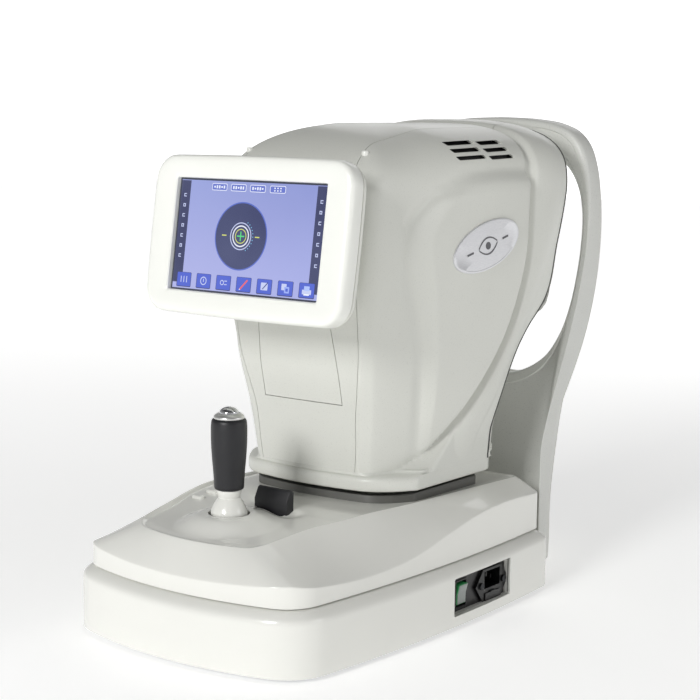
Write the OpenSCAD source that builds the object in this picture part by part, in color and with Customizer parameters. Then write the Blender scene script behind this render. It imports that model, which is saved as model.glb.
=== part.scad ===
// Autorefractor: base, sliding stage, lifting measuring head with monitor, and the patient's headrest.
// The model is drawn with y = 0 at the front of the base and z = 0 at its lower edge, then placed
// so that the origin is under the middle of the whole instrument, on the table.
// +X is the operator's right, +Y points to the patient, +Z is up.

/* [Base] */
// Largest width of the base, at its waist
base_w = 263.7; // [220:0.1:310]
// Depth of the base housing, front to rear
base_d = 369; // [330:1:380]
// Height of the base's upright side wall
base_wall_h = 44; // [36:1:52]
// Height of the rounded shoulder above the side wall
shoulder_h = 7; // [4:1:10]
// How far the shoulder leans inwards, and the stage with it
shoulder_in = 8.8; // [6:0.1:12]
// Height of the rubber feet
foot_h = 3; // [2:0.5:8]
// Radius of one foot
foot_r = 11; // [7:1:16]
// Wall of the moulded covers
wall = 3; // [2:0.1:4]

/* [Stage] */
// Gap between the base's top and the stage cover
stage_gap = 1; // [0.8:0.1:3]
// Height of the stage's front wall
stage_wall_h = 13; // [10:1:18]
// Height of the rim of the deck above the base's top, at the front
rim_h = 40; // [34:1:48]
// Free travel of the stage towards the patient, and away
depth_travel = 18; // [8:1:18]
// Free travel of the stage to each side
side_travel = 43; // [20:1:43]
// Radius of the axle that carries the stage
axle_r = 5; // [4:0.1:6]
// Teeth on each pinion
pinion_teeth = 12; // [10:1:14]
// Tooth size (module) of pinions and racks
tooth_m = 1.5; // [1.2:0.1:1.6]
// Radial clearance of a shaft in its bore
run_gap = 0.05; // [0.02:0.01:0.09]

/* [Joystick] */
// Distance of the joystick from the front of the base
joy_y = 78; // [70:1:90]
// Height of the joystick's pivot above the base's top
joy_pivot_h = 41; // [36:1:46]
// Radius of the grip at its top
grip_r = 14.5; // [11:0.5:17]
// Length of the grip
grip_len = 57; // [45:1:70]

/* [Head] */
// Half width of the head at its rear ring
head_w = 105; // [95:1:105]
// Height of the head's lower lip above the base's lower edge
lip_z = 108; // [106:1:116]
// Height of the lip band
lip_h = 13; // [10:1:16]
// Height of the top of the head above the base's lower edge
head_top = 410; // [395:1:430]
// Lift of the head above its stored height
lift_up = 25; // [10:1:26]
// Lift of the head below its stored height
lift_down = 4; // [1:0.5:5]
// Height of the measuring axis above the base's lower edge
axis_z = 305; // [295:1:315]
// Radius of the objective's tube
tube_r = 26; // [20:1:30]

/* [Monitor] */
// Width of the monitor
mon_w = 205; // [180:1:240]
// Height of the monitor
mon_h = 130; // [115:1:150]
// Thickness of the monitor
mon_t = 24; // [20:1:28]
// Lean of the screen from upright, in degrees
mon_tilt = 8.5; // [0:0.5:12]
// Width of the screen's picture
lcd_w = 154; // [140:1:160]
// Height of the screen's picture
lcd_h = 90.4; // [80:0.1:96]
// Height of the screen's centre above the base's lower edge
mon_z = 318; // [312:1:322]

/* [Headrest] */
// Half width of the headrest arch
arch_w = 104; // [96:1:112]
// Width of each column, seen from the front
column_w = 7; // [5:0.5:10]
// Height of the top of the arch above the base's lower edge
arch_top = 413; // [400:1:430]
// Lift of the chin rest
chin_lift = 60; // [30:1:60]
// Half width of the chin cup
cup_w = 32; // [26:1:36]

/* [Hidden] */
$fn = 48;

// Plastics and metals
cream = [0.90, 0.90, 0.87];
pale = [0.84, 0.84, 0.81];
speckle = [0.72, 0.73, 0.70];
black = [0.10, 0.10, 0.11];
dark = [0.38, 0.38, 0.37];
steel = [0.70, 0.71, 0.73];
alloy = [0.78, 0.79, 0.80];
brass = [0.78, 0.65, 0.36];

// Heights in the base and stage
base_top = base_wall_h + shoulder_h;
stage_z = base_top + stage_gap;
arch_y = base_d + depth_travel - 4;
cup_y = 99;
cup_depth = 26;
whole_d = arch_y + cup_y + cup_depth;
side_bow = 0.00033;
front_bow = 0.00153;
waist_y = base_d - 150.6;
front_corner = 29;
rear_corner = 12;

module place() {
    translate([0, -whole_d / 2, foot_h]) children();
}

// Plan outline of the base, moved inwards by inset: a bowed front, bowed sides and rounded corners
function side_x(y, inset) = base_w / 2 - side_bow * pow(y - waist_y, 2) - inset;
function front_y(x, inset) = inset + front_bow * x * x;
function mix(a, b, t) = a + (b - a) * t;
function arc3(a, c, b, t) = mix(mix(a, c, t), mix(c, b, t), t);
function half_plan(inset, rear) =
    let (
        rf = max(front_corner - inset, 6),
        rb = max(rear_corner - inset / 2, 4),
        xs = side_x(rf, inset),
        xf = xs - rf,
        ys = front_y(xs, inset) + rf,
        yb = base_d - rear,
        xb = side_x(yb, inset)
    )
    concat(
        [for (i = [0:5]) [xf * i / 5, front_y(xf * i / 5, inset)]],
        [for (i = [1:6]) arc3([xf, front_y(xf, inset)], [xs, front_y(xs, inset)],
            [side_x(ys, inset), ys], i / 6)],
        [for (i = [1:8]) let (y = mix(ys, yb - rb, i / 8)) [side_x(y, inset), y]],
        [for (i = [1:4]) arc3([side_x(yb - rb, inset), yb - rb], [xb, yb], [xb - rb, yb], i / 4)]
    );
function mirror_x(p) = [for (i = [len(p) - 1:-1:0]) if (p[i][0] > 0.001) [-p[i][0], p[i][1]]];
function both_sides(h) = concat(h, mirror_x(h));
function plan(inset, rear) = both_sides(half_plan(inset, rear));

module plan_slab(inset, rear, z0, z1) {
    translate([0, 0, z0]) linear_extrude(z1 - z0) polygon(plan(inset, rear));
}

// A closed skin through rings of points, lowest ring first, closed by a fan at each end
module loft(rings, low, high) {
    n = len(rings[0]);
    m = len(rings);
    points = concat([for (r = rings) for (p = r) p], [low, high]);
    faces = concat(
        [for (j = [0:m - 2]) for (i = [0:n - 1])
            [j * n + i, (j + 1) * n + i, (j + 1) * n + (i + 1) % n]],
        [for (j = [0:m - 2]) for (i = [0:n - 1])
            [j * n + i, (j + 1) * n + (i + 1) % n, j * n + (i + 1) % n]],
        [for (i = [0:n - 1]) [m * n, i, (i + 1) % n]],
        [for (i = [0:n - 1]) [m * n + 1, (m - 1) * n + (i + 1) % n, (m - 1) * n + i]]
    );
    polyhedron(points, faces, convexity = 6);
}

// Rounded rectangle, centred
module round_rect(w, h, r) {
    polygon([for (q = [0:3]) for (a = [0:15:90])
        [(q == 0 || q == 3 ? 1 : -1) * (w / 2 - r) + r * cos(q * 90 + a),
         (q < 2 ? 1 : -1) * (h / 2 - r) + r * sin(q * 90 + a)]]);
}

module box(lo, hi) {
    translate(lo) cube(hi - lo);
}

// Cylinder along X or Y, from one coordinate to another
module rod_x(x0, x1, y, z, r) {
    translate([x0, y, z]) rotate([0, 90, 0]) cylinder(h = x1 - x0, r = r);
}
module rod_y(y0, y1, x, z, r) {
    translate([x, y0, z]) rotate([-90, 0, 0]) cylinder(h = y1 - y0, r = r);
}
module rod_z(z0, z1, x, y, r) {
    translate([x, y, z0]) cylinder(h = z1 - z0, r = r);
}

// ---------- Base ----------
plate_t = 2;
foot_x = 92;
foot_y0 = 48;
foot_y1 = base_d - 38;
panel_y0 = base_d - 163;
panel_y1 = base_d - 75;
panel_z0 = 9;
panel_z1 = base_wall_h - 3;
panel_depth = 8;
panel_t = 2.5;
panel_x = side_x((panel_y0 + panel_y1) / 2, 0) - panel_depth;
bottom_in = wall + 0.2;

module base_housing() {
    mid_z = base_wall_h + shoulder_h * 0.7;
    color(cream) place() difference() {
        union() {
            plan_slab(0, 0, 0, base_wall_h);
            hull() {
                plan_slab(0, 0, base_wall_h - 1, base_wall_h);
                plan_slab(shoulder_in * 0.3, 2, mid_z, mid_z + 0.1);
                plan_slab(shoulder_in, 6, base_top - 0.1, base_top);
            }
        }
        plan_slab(wall, wall, -1, base_wall_h - 2);
        plan_slab(shoulder_in + wall, shoulder_in + wall, base_wall_h - 3, base_top - wall);
        box([panel_x - 1, panel_y0, panel_z0], [base_w, panel_y1, panel_z1]);
    }
}

module base_plate() {
    color(steel) place() difference() {
        plan_slab(bottom_in, bottom_in, 0, plate_t);
        for (x = [-foot_x, foot_x], y = [foot_y0, foot_y1]) rod_z(-1, 4, x, y, 2.1);
    }
}

module feet() {
    color(black) place() for (x = [-foot_x, foot_x], y = [foot_y0, foot_y1]) {
        rod_z(-foot_h, 0, x, y, foot_r);
        rod_z(-0.5, plate_t, x, y, 2);
    }
}

// The black panel at the bottom of the recess, with the openings of the switch and the inlet
switch_y = panel_y0 + 21;
switch_z = 23;
switch_w = 15;
switch_h = 21;
inlet_y = switch_y + 45;
inlet_z = 27;
inlet_w = 27;
inlet_h = 20;
fuse_h = 9;
fuse_z = 12.5;
flange_z = 23;
flange_half = 25;
screw_gap_y = 17;

module power_panel() {
    color(black) place() difference() {
        box([panel_x - panel_t, panel_y0 - 2, panel_z0 - 2],
            [panel_x - 0.5, panel_y1 + 2, panel_z1 + 0.8]);
        box([panel_x - 5, switch_y - switch_w / 2, switch_z - switch_h / 2],
            [panel_x + 5, switch_y + switch_w / 2, switch_z + switch_h / 2]);
        box([panel_x - 5, inlet_y - inlet_w / 2, fuse_z - fuse_h / 2 - 0.3],
            [panel_x + 5, inlet_y + inlet_w / 2, inlet_z + inlet_h / 2]);
        for (s = [-1, 1]) rod_x(panel_x - 5, panel_x + 5, inlet_y + s * screw_gap_y, flange_z, 1.6);
    }
}

module power_inlet() {
    back = panel_x - 24;
    color(black) place() difference() {
        union() {
            box([back, inlet_y - inlet_w / 2 + 0.3, fuse_z - fuse_h / 2 - 0.1],
                [panel_x - 0.4, inlet_y + inlet_w / 2 - 0.3, inlet_z + inlet_h / 2 - 0.3]);
            translate([panel_x - 0.4, inlet_y, flange_z]) rotate([90, 0, 90]) linear_extrude(2.4)
                polygon([
                    [-flange_half, 0], [-14, 13.5], [14, 13.5], [flange_half, 0], [14, -14], [-14, -14]
                ]);
        }
        box([panel_x - 17, inlet_y - 12, inlet_z - 7.5], [panel_x + 5, inlet_y + 12, inlet_z + 7.5]);
        box([back + 4, inlet_y - inlet_w / 2 + 1.8, fuse_z - fuse_h / 2 + 1],
            [panel_x + 5, inlet_y + inlet_w / 2 - 1.8, fuse_z + fuse_h / 2 - 1]);
        for (s = [-1, 1]) rod_x(panel_x - 5, panel_x + 5, inlet_y + s * screw_gap_y, flange_z, 1.6);
    }
    color(steel) place() for (s = [-1, 0, 1])
        box([panel_x - 17, inlet_y + s * 7 - 1, inlet_z - 3 + (s == 0 ? 3 : 0)],
            [panel_x - 4, inlet_y + s * 7 + 1, inlet_z + 1 + (s == 0 ? 3 : 0)]);
}

module panel_screws() {
    color(steel) place() for (s = [-1, 1]) {
        rod_x(panel_x - 6, panel_x + 2.2, inlet_y + s * screw_gap_y, flange_z, 1.5);
        rod_x(panel_x + 2, panel_x + 3.6, inlet_y + s * screw_gap_y, flange_z, 3);
    }
}

module rocker_switch() {
    color([0.10, 0.45, 0.20]) place() intersection() {
        box([panel_x - 12, switch_y - switch_w / 2 + 0.5, switch_z - switch_h / 2 + 0.5],
            [panel_x + 8, switch_y + switch_w / 2 - 0.5, switch_z + switch_h / 2 - 0.5]);
        translate([panel_x - 8, switch_y - 10, switch_z]) rotate([-90, 0, 0])
            cylinder(h = 20, r = 11);
    }
}

module fuse_drawer() {
    color(black) place() {
        box([panel_x - 17, inlet_y - inlet_w / 2 + 2.1, fuse_z - fuse_h / 2 + 1.3],
            [panel_x + 3, inlet_y + inlet_w / 2 - 2.1, fuse_z + fuse_h / 2 - 1.3]);
        box([panel_x + 2.2, inlet_y - 4, fuse_z + fuse_h / 2 - 1.4],
            [panel_x + 3.8, inlet_y + 4, fuse_z + fuse_h / 2 - 0.4]);
    }
}

module power_supply() {
    color(alloy) place() box([-90, base_d - 119, plate_t], [-20, base_d - 24, plate_t + 32]);
}

// ---------- Mechanism that carries the stage ----------
pinion_r = pinion_teeth * tooth_m / 2;
tooth_pitch = PI * tooth_m;
rack_x = 60;
rack_w = 8;
rack_body = 5;
axle_y = 230;
pitch_z = base_top + rack_body + tooth_m * 1.2;
axle_z = pitch_z + pinion_r;
bush_half = 11;
rack_len = 120;
frame_y0 = axle_y - 11;
tooth_slim = 0.4;

// Tooth outline, standing on the pitch line: slim flanks leave running play
module tooth(bottom, top) {
    w = tooth_pitch * tooth_slim;
    polygon([[-w / 2 - bottom * 0.35, -bottom], [w / 2 + bottom * 0.35, -bottom],
        [w / 2 - top * 0.42, top], [-w / 2 + top * 0.42, top]]);
}

module depth_racks() {
    teeth = floor(rack_len / tooth_pitch / 2);
    color(steel) place() for (s = [-1, 1]) {
        box([s * rack_x - rack_w / 2, axle_y - rack_len / 2, base_top],
            [s * rack_x + rack_w / 2, axle_y + rack_len / 2, base_top + rack_body]);
        for (k = [-teeth + 1:teeth - 1])
            translate([s * rack_x - rack_w / 2, axle_y + (k + 0.5) * tooth_pitch, pitch_z])
                rotate([90, 0, 90]) linear_extrude(rack_w) tooth(tooth_m * 1.2, tooth_m * 0.8);
    }
}

module cross_axle() {
    color(steel) place() {
        rod_x(-rack_x - 14, rack_x + 14, axle_y, axle_z, axle_r);
        for (s = [-1, 1]) translate([s * rack_x - rack_w / 2 + 0.5, axle_y, axle_z]) rotate([90, 0, 90])
            linear_extrude(rack_w - 1) {
                circle(r = pinion_r - tooth_m * 1.15);
                for (k = [0:pinion_teeth - 1]) rotate(k * 360 / pinion_teeth - 90)
                    translate([pinion_r, 0]) rotate(-90) tooth(tooth_m * 1.25, tooth_m * 0.8);
            }
    }
}

module cross_frame() {
    block_x0 = rack_x + rack_w / 2 + 1.5;
    block_x1 = block_x0 + 8;
    z0 = base_top + 0.3;
    color(alloy) place() difference() {
        union() {
            for (s = [0, 1]) mirror([s, 0, 0])
                box([block_x0, frame_y0, z0], [block_x1, axle_y + 30, axle_z + axle_r + 2.5]);
            box([-block_x1, axle_y + 20, z0 + rack_body + 4.5], [block_x1, axle_y + 30, z0 + rack_body + 9]);
        }
        rod_x(-block_x1 - 1, block_x1 + 1, axle_y, axle_z, axle_r + run_gap);
    }
}

// ---------- Stage ----------
plate_z = axle_z + pinion_r + tooth_m + 2;
stage_plate_t = 4;
rim_x0 = 60;
rim_slope = 0.185;
deck_y0 = 27;
deck_rear = base_d - 6;

// Height of the stage's side wall, an S-shaped rise from front to rear
function smooth(t) = let (c = min(max(t, 0), 1)) c * c * (3 - 2 * c);
function wall_z(y) = stage_z + stage_wall_h + 18 * smooth((y - 60) / 250);
// Half width and height of the deck's rim along its length
function rim_x(y) = y < 150 ? rim_x0 + rim_slope * y : 88 + 7 * smooth((y - 150) / 220);
function rim_z(y) = base_top + rim_h + (y < 150 ? 0.083 * (y - 20) : 10.8 - 6 * smooth((y - 150) / 220));
function deck_z(y) = rim_z(y) - 3;
// A point of the stage outline, pulled in to the rim
function rim_point(p, inset) =
    let (
        y = mix(deck_y0, deck_rear, (p[1]) / deck_rear),
        yy = max(y, deck_y0 + 0.0028 * p[0] * p[0] * (p[1] < 60 ? 1 : 0)),
        k = rim_x(yy) / side_x(max(p[1], 20), shoulder_in)
    )
    [p[0] * k, min(yy, deck_rear - 0.01) - inset * (p[1] > deck_rear - 2 ? 1 : 0), rim_z(yy)];
function stage_ring(inset, z0) = [for (p = plan(shoulder_in + inset, 6 + inset)) [p[0], p[1], z0]];
function stage_wall_ring(inset) =
    [for (p = plan(shoulder_in + inset, 6 + inset)) [p[0], p[1], wall_z(p[1]) - inset]];
function stage_rim_ring(inset) =
    [for (p = plan(shoulder_in, 6)) let (q = rim_point(p, inset))
        [q[0] * (1 - inset / 90), q[1] + (p[1] < 60 ? inset * 0.8 : 0), q[2] - inset]];
function stage_dish_ring(inset) =
    [for (r = stage_rim_ring(inset)) [r[0] * 0.9, mix(r[1], 190, 0.06), r[2] - 3]];

module stage_solid(inset, z0) {
    loft([stage_ring(inset, z0), stage_wall_ring(inset), stage_rim_ring(inset), stage_dish_ring(inset)],
        [0, 190, z0], [0, 190, rim_z(190) - 3 - inset]);
}

turret_in = 8;
turret_gap = 0.6;
mound_r = 44;
mound_top = base_top + 49.3;
joy_hole_r = 17;
button_x = -66;
button_y = [114, 132];
button_w = 12;
button_h = 6;
lever_x = 8;
lever_y = 123;
lever_w = 28;
joy_z = base_top + joy_pivot_h;

module stage_cover() {
    color(pale) place() difference() {
        union() {
            difference() {
                stage_solid(0, stage_z);
                stage_solid(wall, stage_z - 1);
            }
            difference() {
                rod_mound(0);
                rod_mound(wall);
            }
        }
        rod_z(stage_z + 20, mound_top + 1, 0, joy_y, joy_hole_r);
        translate([0, 0, stage_z + 20]) linear_extrude(60) polygon(lip_plan(turret_in - turret_gap));
        for (y = button_y) translate([button_x, y, stage_z + 20]) linear_extrude(60)
            round_rect(button_w + 1, button_h + 1, 3.4);
        box([lever_x - lever_w / 2 - 1, lever_y - 7, stage_z + 20],
            [lever_x + lever_w / 2 + 1, lever_y + 9, mound_top + 20]);
        box([lever_x - lever_w / 2 - 4, lever_y - 5, stage_z + 20],
            [lever_x + lever_w / 2 + 4, lever_y + 5, lever_z + 3.2]);
    }
}

module rod_mound(inset) {
    low = deck_z(joy_y) - 6 - inset;
    high = mound_top - (inset > 0 ? 1.2 : 0);
    translate([0, joy_y, low])
        cylinder(h = high - low, r1 = mound_r - inset, r2 = 21 - inset);
}

module stage_plate() {
    color(alloy) place() difference() {
        union() {
            translate([0, 0, plate_z]) linear_extrude(stage_plate_t)
                polygon(both_sides([[46, 52], [78, 150], [84, base_d - 34]]));
            for (s = [-1, 1]) box([lever_x + s * (lever_w / 2 + 2) - 1.2, lever_y - 4, floor_z - 1],
                [lever_x + s * (lever_w / 2 + 2) + 1.2, lever_y + 4, lever_z + 3]);
        }
        rod_z(plate_z - 1, plate_z + 9, 0, joy_y, 12);
        rod_x(lever_x - lever_w, lever_x + lever_w, lever_y, lever_z, lever_pin_r + run_gap);
    }
}

module axle_bush() {
    color(brass) place() difference() {
        box([-bush_half, axle_y - 9, axle_z - 8], [bush_half, axle_y + 9, plate_z]);
        rod_x(-bush_half - 1, bush_half + 1, axle_y, axle_z, axle_r + run_gap);
    }
}

module friction_pad() {
    color(black) place() translate([0, joy_y + 6, base_top]) linear_extrude(0.8) round_rect(76, 60, 8);
}

// ---------- Turret and lift ----------
rod_x0 = 50;
rod_y0 = 250;
lift_rod_r = 5;
screw_r = 4;
screw_y = 296;
lift_motor_x = 46;
lift_motor_y = 288;
pulley_r = 10;
floor_z = plate_z + stage_plate_t;
chassis_z = lip_z + 46;
chassis_t = 4;
boss_low = 10;
boss_up = 16;
rod_top = chassis_z + chassis_t + boss_up + lift_up + 8;

// Plan outline of the head's lip, moved inwards by inset
function lip_half(inset) =
    let (
        f = lip_front + inset,
        w = lip_w - inset,
        b = lip_rear - inset,
        c = 30
    )
    concat(
        [for (i = [0:4]) [(w - c) * i / 4, f + 6 * pow(i / 4, 2)]],
        [for (i = [1:6]) arc3([w - c, f + 6], [w - 4, f + 12], [w, f + 38], i / 6)],
        [[w, b - 14]],
        [for (i = [1:4]) arc3([w, b - 14], [w, b], [w - 14, b], i / 4)]
    );
lip_front = 172;
lip_w = 91;
lip_rear = 327;
function lip_plan(inset) = let (h = lip_half(inset)) concat(h, mirror_x(h));

// A short collar under the lip, and a narrower column that stays inside the head as it lifts
module turret() {
    collar_top = lip_z - lift_down - 0.8;
    column_top = chassis_z - boss_low - lift_down - 2;
    column_in = wall + 5;
    row = HEAD_ROWS[0];
    function flat(p) = [for (q = p) [q[0], q[1]]];
    color(dark) place() difference() {
        union() {
            translate([0, 0, floor_z]) linear_extrude(collar_top - floor_z) polygon(lip_plan(turret_in));
            translate([0, 0, floor_z]) linear_extrude(column_top - floor_z)
                polygon(flat(head_ring(row, column_in)));
        }
        translate([0, 0, floor_z - 1]) linear_extrude(column_top)
            polygon(flat(head_ring(row, column_in + 2.5)));
        translate([0, 0, floor_z - 1]) linear_extrude(collar_top - floor_z - 1.5)
            polygon(lip_plan(turret_in + 2.5));
    }
}

module lift_rods() {
    color(steel) place() for (s = [-1, 1]) rod_z(floor_z, rod_top, s * rod_x0, rod_y0, lift_rod_r);
}

module lift_motor() {
    color(black) place() {
        box([lift_motor_x - 17, lift_motor_y - 17, floor_z + 14],
            [lift_motor_x + 17, lift_motor_y + 17, floor_z + 36]);
        for (leg = [[15, -12], [15, 12], [-15, -13]])
            rod_z(floor_z, floor_z + 14, lift_motor_x + leg[0], lift_motor_y + leg[1], 1.8);
    }
}

module motor_pulley() {
    color(alloy) place() rod_z(floor_z + 3, floor_z + 13.5, lift_motor_x, lift_motor_y, pulley_r);
}

module lift_screw() {
    color(steel) place() {
        rod_z(floor_z + 0.5, chassis_z + 50, 0, screw_y, screw_r);
        rod_z(floor_z + 3, floor_z + 13.5, 0, screw_y, pulley_r);
    }
}

// Belt round both pulleys, a loop of two arcs and two straight runs
module lift_belt() {
    play = 0.3;
    belt_t = 1.2;
    turn = atan2(lift_motor_y - screw_y, lift_motor_x);
    reach = norm([lift_motor_x, lift_motor_y - screw_y]);
    module run(r) {
        circle(r = r);
        translate([reach, 0]) circle(r = r);
        translate([0, -r]) square([reach, 2 * r]);
    }
    color(black) place() translate([0, screw_y, floor_z + 5]) rotate(turn) linear_extrude(6) difference() {
        run(pulley_r + play + belt_t);
        run(pulley_r + play);
    }
}

// ---------- Joystick and controls on the stage ----------
collar_z = mound_top + 13.5;
grip_z = mound_top + 19.5;
grip_top = grip_z + grip_len;
gimbal_r = 9.5;
stick_r = 4;

module joystick_socket() {
    color(black) place() difference() {
        rod_z(plate_z + stage_plate_t, joy_z + 3, 0, joy_y, 15.5);
        rod_z(plate_z + 3, joy_z + 6, 0, joy_y, 12);
        rod_x(-16, 16, joy_y, joy_z, 1.5 + run_gap);
    }
}

module joystick_gimbal() {
    color(steel) place() difference() {
        union() {
            rod_z(joy_z - 3, joy_z + 3, 0, joy_y, gimbal_r);
            for (s = [0, 1]) mirror([s, 0, 0]) rod_x(gimbal_r - 1, 15, joy_y, joy_z, 1.5);
        }
        rod_z(joy_z - 4, joy_z + 4, 0, joy_y, gimbal_r - 3);
        rod_y(joy_y - 11, joy_y + 11, 0, joy_z, 1.2 + run_gap);
    }
}

module joystick_shaft() {
    color(steel) place() {
        rod_z(base_top + 6, grip_top - 6, 0, joy_y, stick_r);
        translate([0, joy_y, base_top + 6]) sphere(r = 5);
        rod_y(joy_y - gimbal_r + 0.3, joy_y + gimbal_r - 0.3, 0, joy_z, 1.2);
    }
}

// Bell skirt over the hole and the collar above it, one turned moulding
module joystick_bell() {
    color(cream) place() translate([0, joy_y, 0]) rotate_extrude() polygon([
        [stick_r + 0.01, mound_top + 6], [12.6, mound_top + 0.5], [14.8, mound_top - 1],
        [14.4, mound_top + 3], [12.5, mound_top + 8], [8.6, mound_top + 11.5], [8, mound_top + 14],
        [9.2, grip_z - 0.3],
        [stick_r + 0.01, grip_z - 0.3]
    ]);
}

module joystick_grip() {
    color(black) place() translate([0, joy_y, 0]) rotate_extrude() polygon([
        [stick_r + run_gap, grip_z], [11, grip_z], [11.8, grip_z + 1.5], [grip_r, grip_top - 8],
        [grip_r, grip_top - 2], [grip_r - 2, grip_top], [grip_r - 5, grip_top], [grip_r - 5, grip_top - 4],
        [stick_r + run_gap, grip_top - 4]
    ]);
}

module grip_ring() {
    color(steel) place() translate([0, joy_y, 0]) rotate_extrude() polygon([
        [6, grip_top - 4], [grip_r - 5, grip_top - 4], [grip_r - 5, grip_top], [grip_r - 3, grip_top],
        [grip_r - 3.5, grip_top + 2.5], [8.6, grip_top + 5], [8.2, grip_top + 4.2],
        [8.2, grip_top - 1], [6, grip_top - 1]
    ]);
}

module capture_button() {
    color(steel) place() translate([0, joy_y, 0]) rotate_extrude() polygon([
        [0, grip_top + 1.5], [7.9, grip_top + 1.5], [7.9, grip_top + 6], [6.5, grip_top + 7.9],
        [4, grip_top + 9], [0, grip_top + 9.4]
    ]);
}

module chin_button(y) {
    top = deck_z(y) + 2.2;
    color(cream) place() translate([button_x, y, top - 8])
        linear_extrude(8) round_rect(button_w, button_h, 2.9);
}
module chin_up_button() {
    chin_button(button_y[0]);
}
module chin_down_button() {
    chin_button(button_y[1]);
}

lever_z = base_top + 38;
lever_pin_r = 2;
module lock_lever() {
    color(black) place() {
        translate([lever_x - lever_w / 2 + 0.5, lever_y, lever_z])
            rotate([90, 0, 90]) linear_extrude(lever_w - 1)
            polygon([[-4.5, 4], [-1, 24], [3, 24.5], [6.5, 11], [4.5, -2.5], [-3.5, -2.5]]);
        rod_x(lever_x - lever_w / 2 - 3, lever_x + lever_w / 2 + 3, lever_y, lever_z, lever_pin_r);
    }
}

// ---------- Head ----------
// Rows of the head's body by height: front face, crease half width, crease y, rear half width, rear y
top_dz = head_top - 410;
HEAD_ROWS = [
    [lip_z + lip_h - 0.01, 177, 59, 184, 90, 326],
    [170, 172, 65, 179, 96, 335],
    [213, 163, 71, 171, 100, 353],
    [230, 160, 73, 166, 102, 368],
    [251, 156, 76, 162, head_w - 1, 397],
    [304, 150, 80, 158, head_w, 411],
    [350, 150, 80, 158, head_w - 1, 426],
    [376 + top_dz, 155, 76, 164, head_w - 8, 422],
    [395 + top_dz, 167, 62, 176, head_w - 25, 412],
    [405 + top_dz, 188, 42, 198, head_w - 50, 394]
];
function head_ring(row, inset) =
    let (
        z = row[0],
        wc = row[2] - inset * 0.9,
        yc = row[3] + inset,
        yf = row[1] + inset,
        wr = row[4] - inset,
        yr = row[5] - inset,
        half = concat(
            [for (i = [0:4]) [wc * i / 4, mix(yf, yc, pow(i / 4, 2))]],
            [for (i = [1:6]) [mix(wc, wr, pow(sin(15 * i), 0.8)), mix(yc, yr - 8, i / 6)]],
            [[wr - 3, yr - 2], [wr - 9, yr]],
            [[(wr - 9) / 2, yr + 1]]
        ),
        h = concat(half, [[0, yr + 1.4]])
    )
    [for (p = concat(h, mirror_x(h))) [p[0], p[1], z]];

module head_solid(inset, low) {
    rows = HEAD_ROWS;
    first = rows[0];
    n = len(rows);
    rings = concat(
        [head_ring([first[0] - low, first[1], first[2], first[3], first[4], first[5]], inset)],
        [for (i = [1:n - 1]) let (r = rows[i])
            head_ring([r[0] - (i > 6 ? inset * 0.8 : 0), r[1], r[2], r[3], r[4], r[5]], inset)]
    );
    loft(rings, [0, 250, first[0] - low], [0, 290, head_top - inset]);
}

module head_shell() {
    difference() {
        head_solid(0, 0);
        head_solid(wall, 1);
    }
}

seam = 0.2;
cover_x = 56;
rear_split = 300;
door_x = 41;
door_z0 = 179;
door_z1 = 250;
door_gap = 0.6;
hinge_z = door_z0 + 2;
function front_at(z) = lookup(z, [for (r = HEAD_ROWS) [r[0], r[1]]]);
hinge_y = front_at(hinge_z) + 1.7;

module head_skirt() {
    color(cream) place() difference() {
        translate([0, 0, lip_z]) linear_extrude(lip_h - 0.05) polygon(lip_plan(0));
        translate([0, 0, lip_z - 1]) linear_extrude(lip_h + 2) polygon(lip_plan(wall + 1));
    }
}

module front_cover() {
    color(pale) place() difference() {
        intersection() {
            head_shell();
            box([-cover_x + seam, 100, lip_z], [cover_x - seam, rear_split - seam, head_top + 5]);
        }
        box([-door_x - door_gap, 100, door_z0 - 1], [door_x + door_gap, 220, door_z1 + door_gap]);
        rod_x(-door_x - 3, door_x + 3, hinge_y, hinge_z, 0.9 + run_gap);
        box([-16, 100, pivot_z - 16], [16, 170, pivot_z + 16]);
    }
}

module printer_door() {
    color(pale) place() {
        intersection() {
            head_shell();
            box([-door_x, 100, door_z0], [door_x, 220, door_z1]);
        }
        rod_x(-door_x - 2.6, door_x + 2.6, hinge_y, hinge_z, 0.9);
    }
}

vent_rows = [378.5, 384.5, 390.5];
vent_cols = [[250, 283], [288, 322]];
module vents() {
    for (z = vent_rows, c = vent_cols)
        box([60, c[0] + (390 - z) * 1.1, z - 1.6], [120, c[1] + (390 - z) * 1.1, z + 1.6]);
}

module side_cover() {
    color(pale) place() difference() {
        intersection() {
            head_shell();
            box([cover_x + seam, 100, lip_z], [head_w + 20, 450, head_top + 5]);
        }
        vents();
        for (z = [126, 376]) translate([0, 0, 0]) rod_y(100, 205, cover_x + 2.4, z, 1.7);
    }
}
module right_cover() {
    side_cover();
}
module left_cover() {
    mirror([1, 0, 0]) side_cover();
}

window_r = 34;
module rear_cover() {
    color(pale) place() difference() {
        intersection() {
            head_shell();
            box([-cover_x + seam, rear_split + seam, lip_z], [cover_x - seam, 450, head_top + 5]);
        }
        rod_y(350, 450, 0, axis_z, window_r);
    }
}

module badges() {
    color(steel) place() for (s = [-1, 1]) translate([s * 102.5, 286, 306]) rotate([0, 0, s * -5])
        rotate([90, 0, 90]) translate([0, 0, -0.6]) linear_extrude(1.2)
            polygon([for (a = [0:15:345]) [46 * cos(a), 20 * sin(a) + 0.09 * 46 * cos(a)]]);
}

module vent_grilles() {
    color(black) place() for (s = [0, 1]) mirror([s, 0, 0])
        translate([66, 250, 368]) rotate([0, 38, 0]) cube([2, 84, 14]);
}

module cover_screws() {
    color(steel) place() for (s = [-1, 1])
        rod_y(front_at(126) + 8.8, front_at(126) + 22, s * (cover_x + 2.4), 126, 1.6);
}

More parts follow.
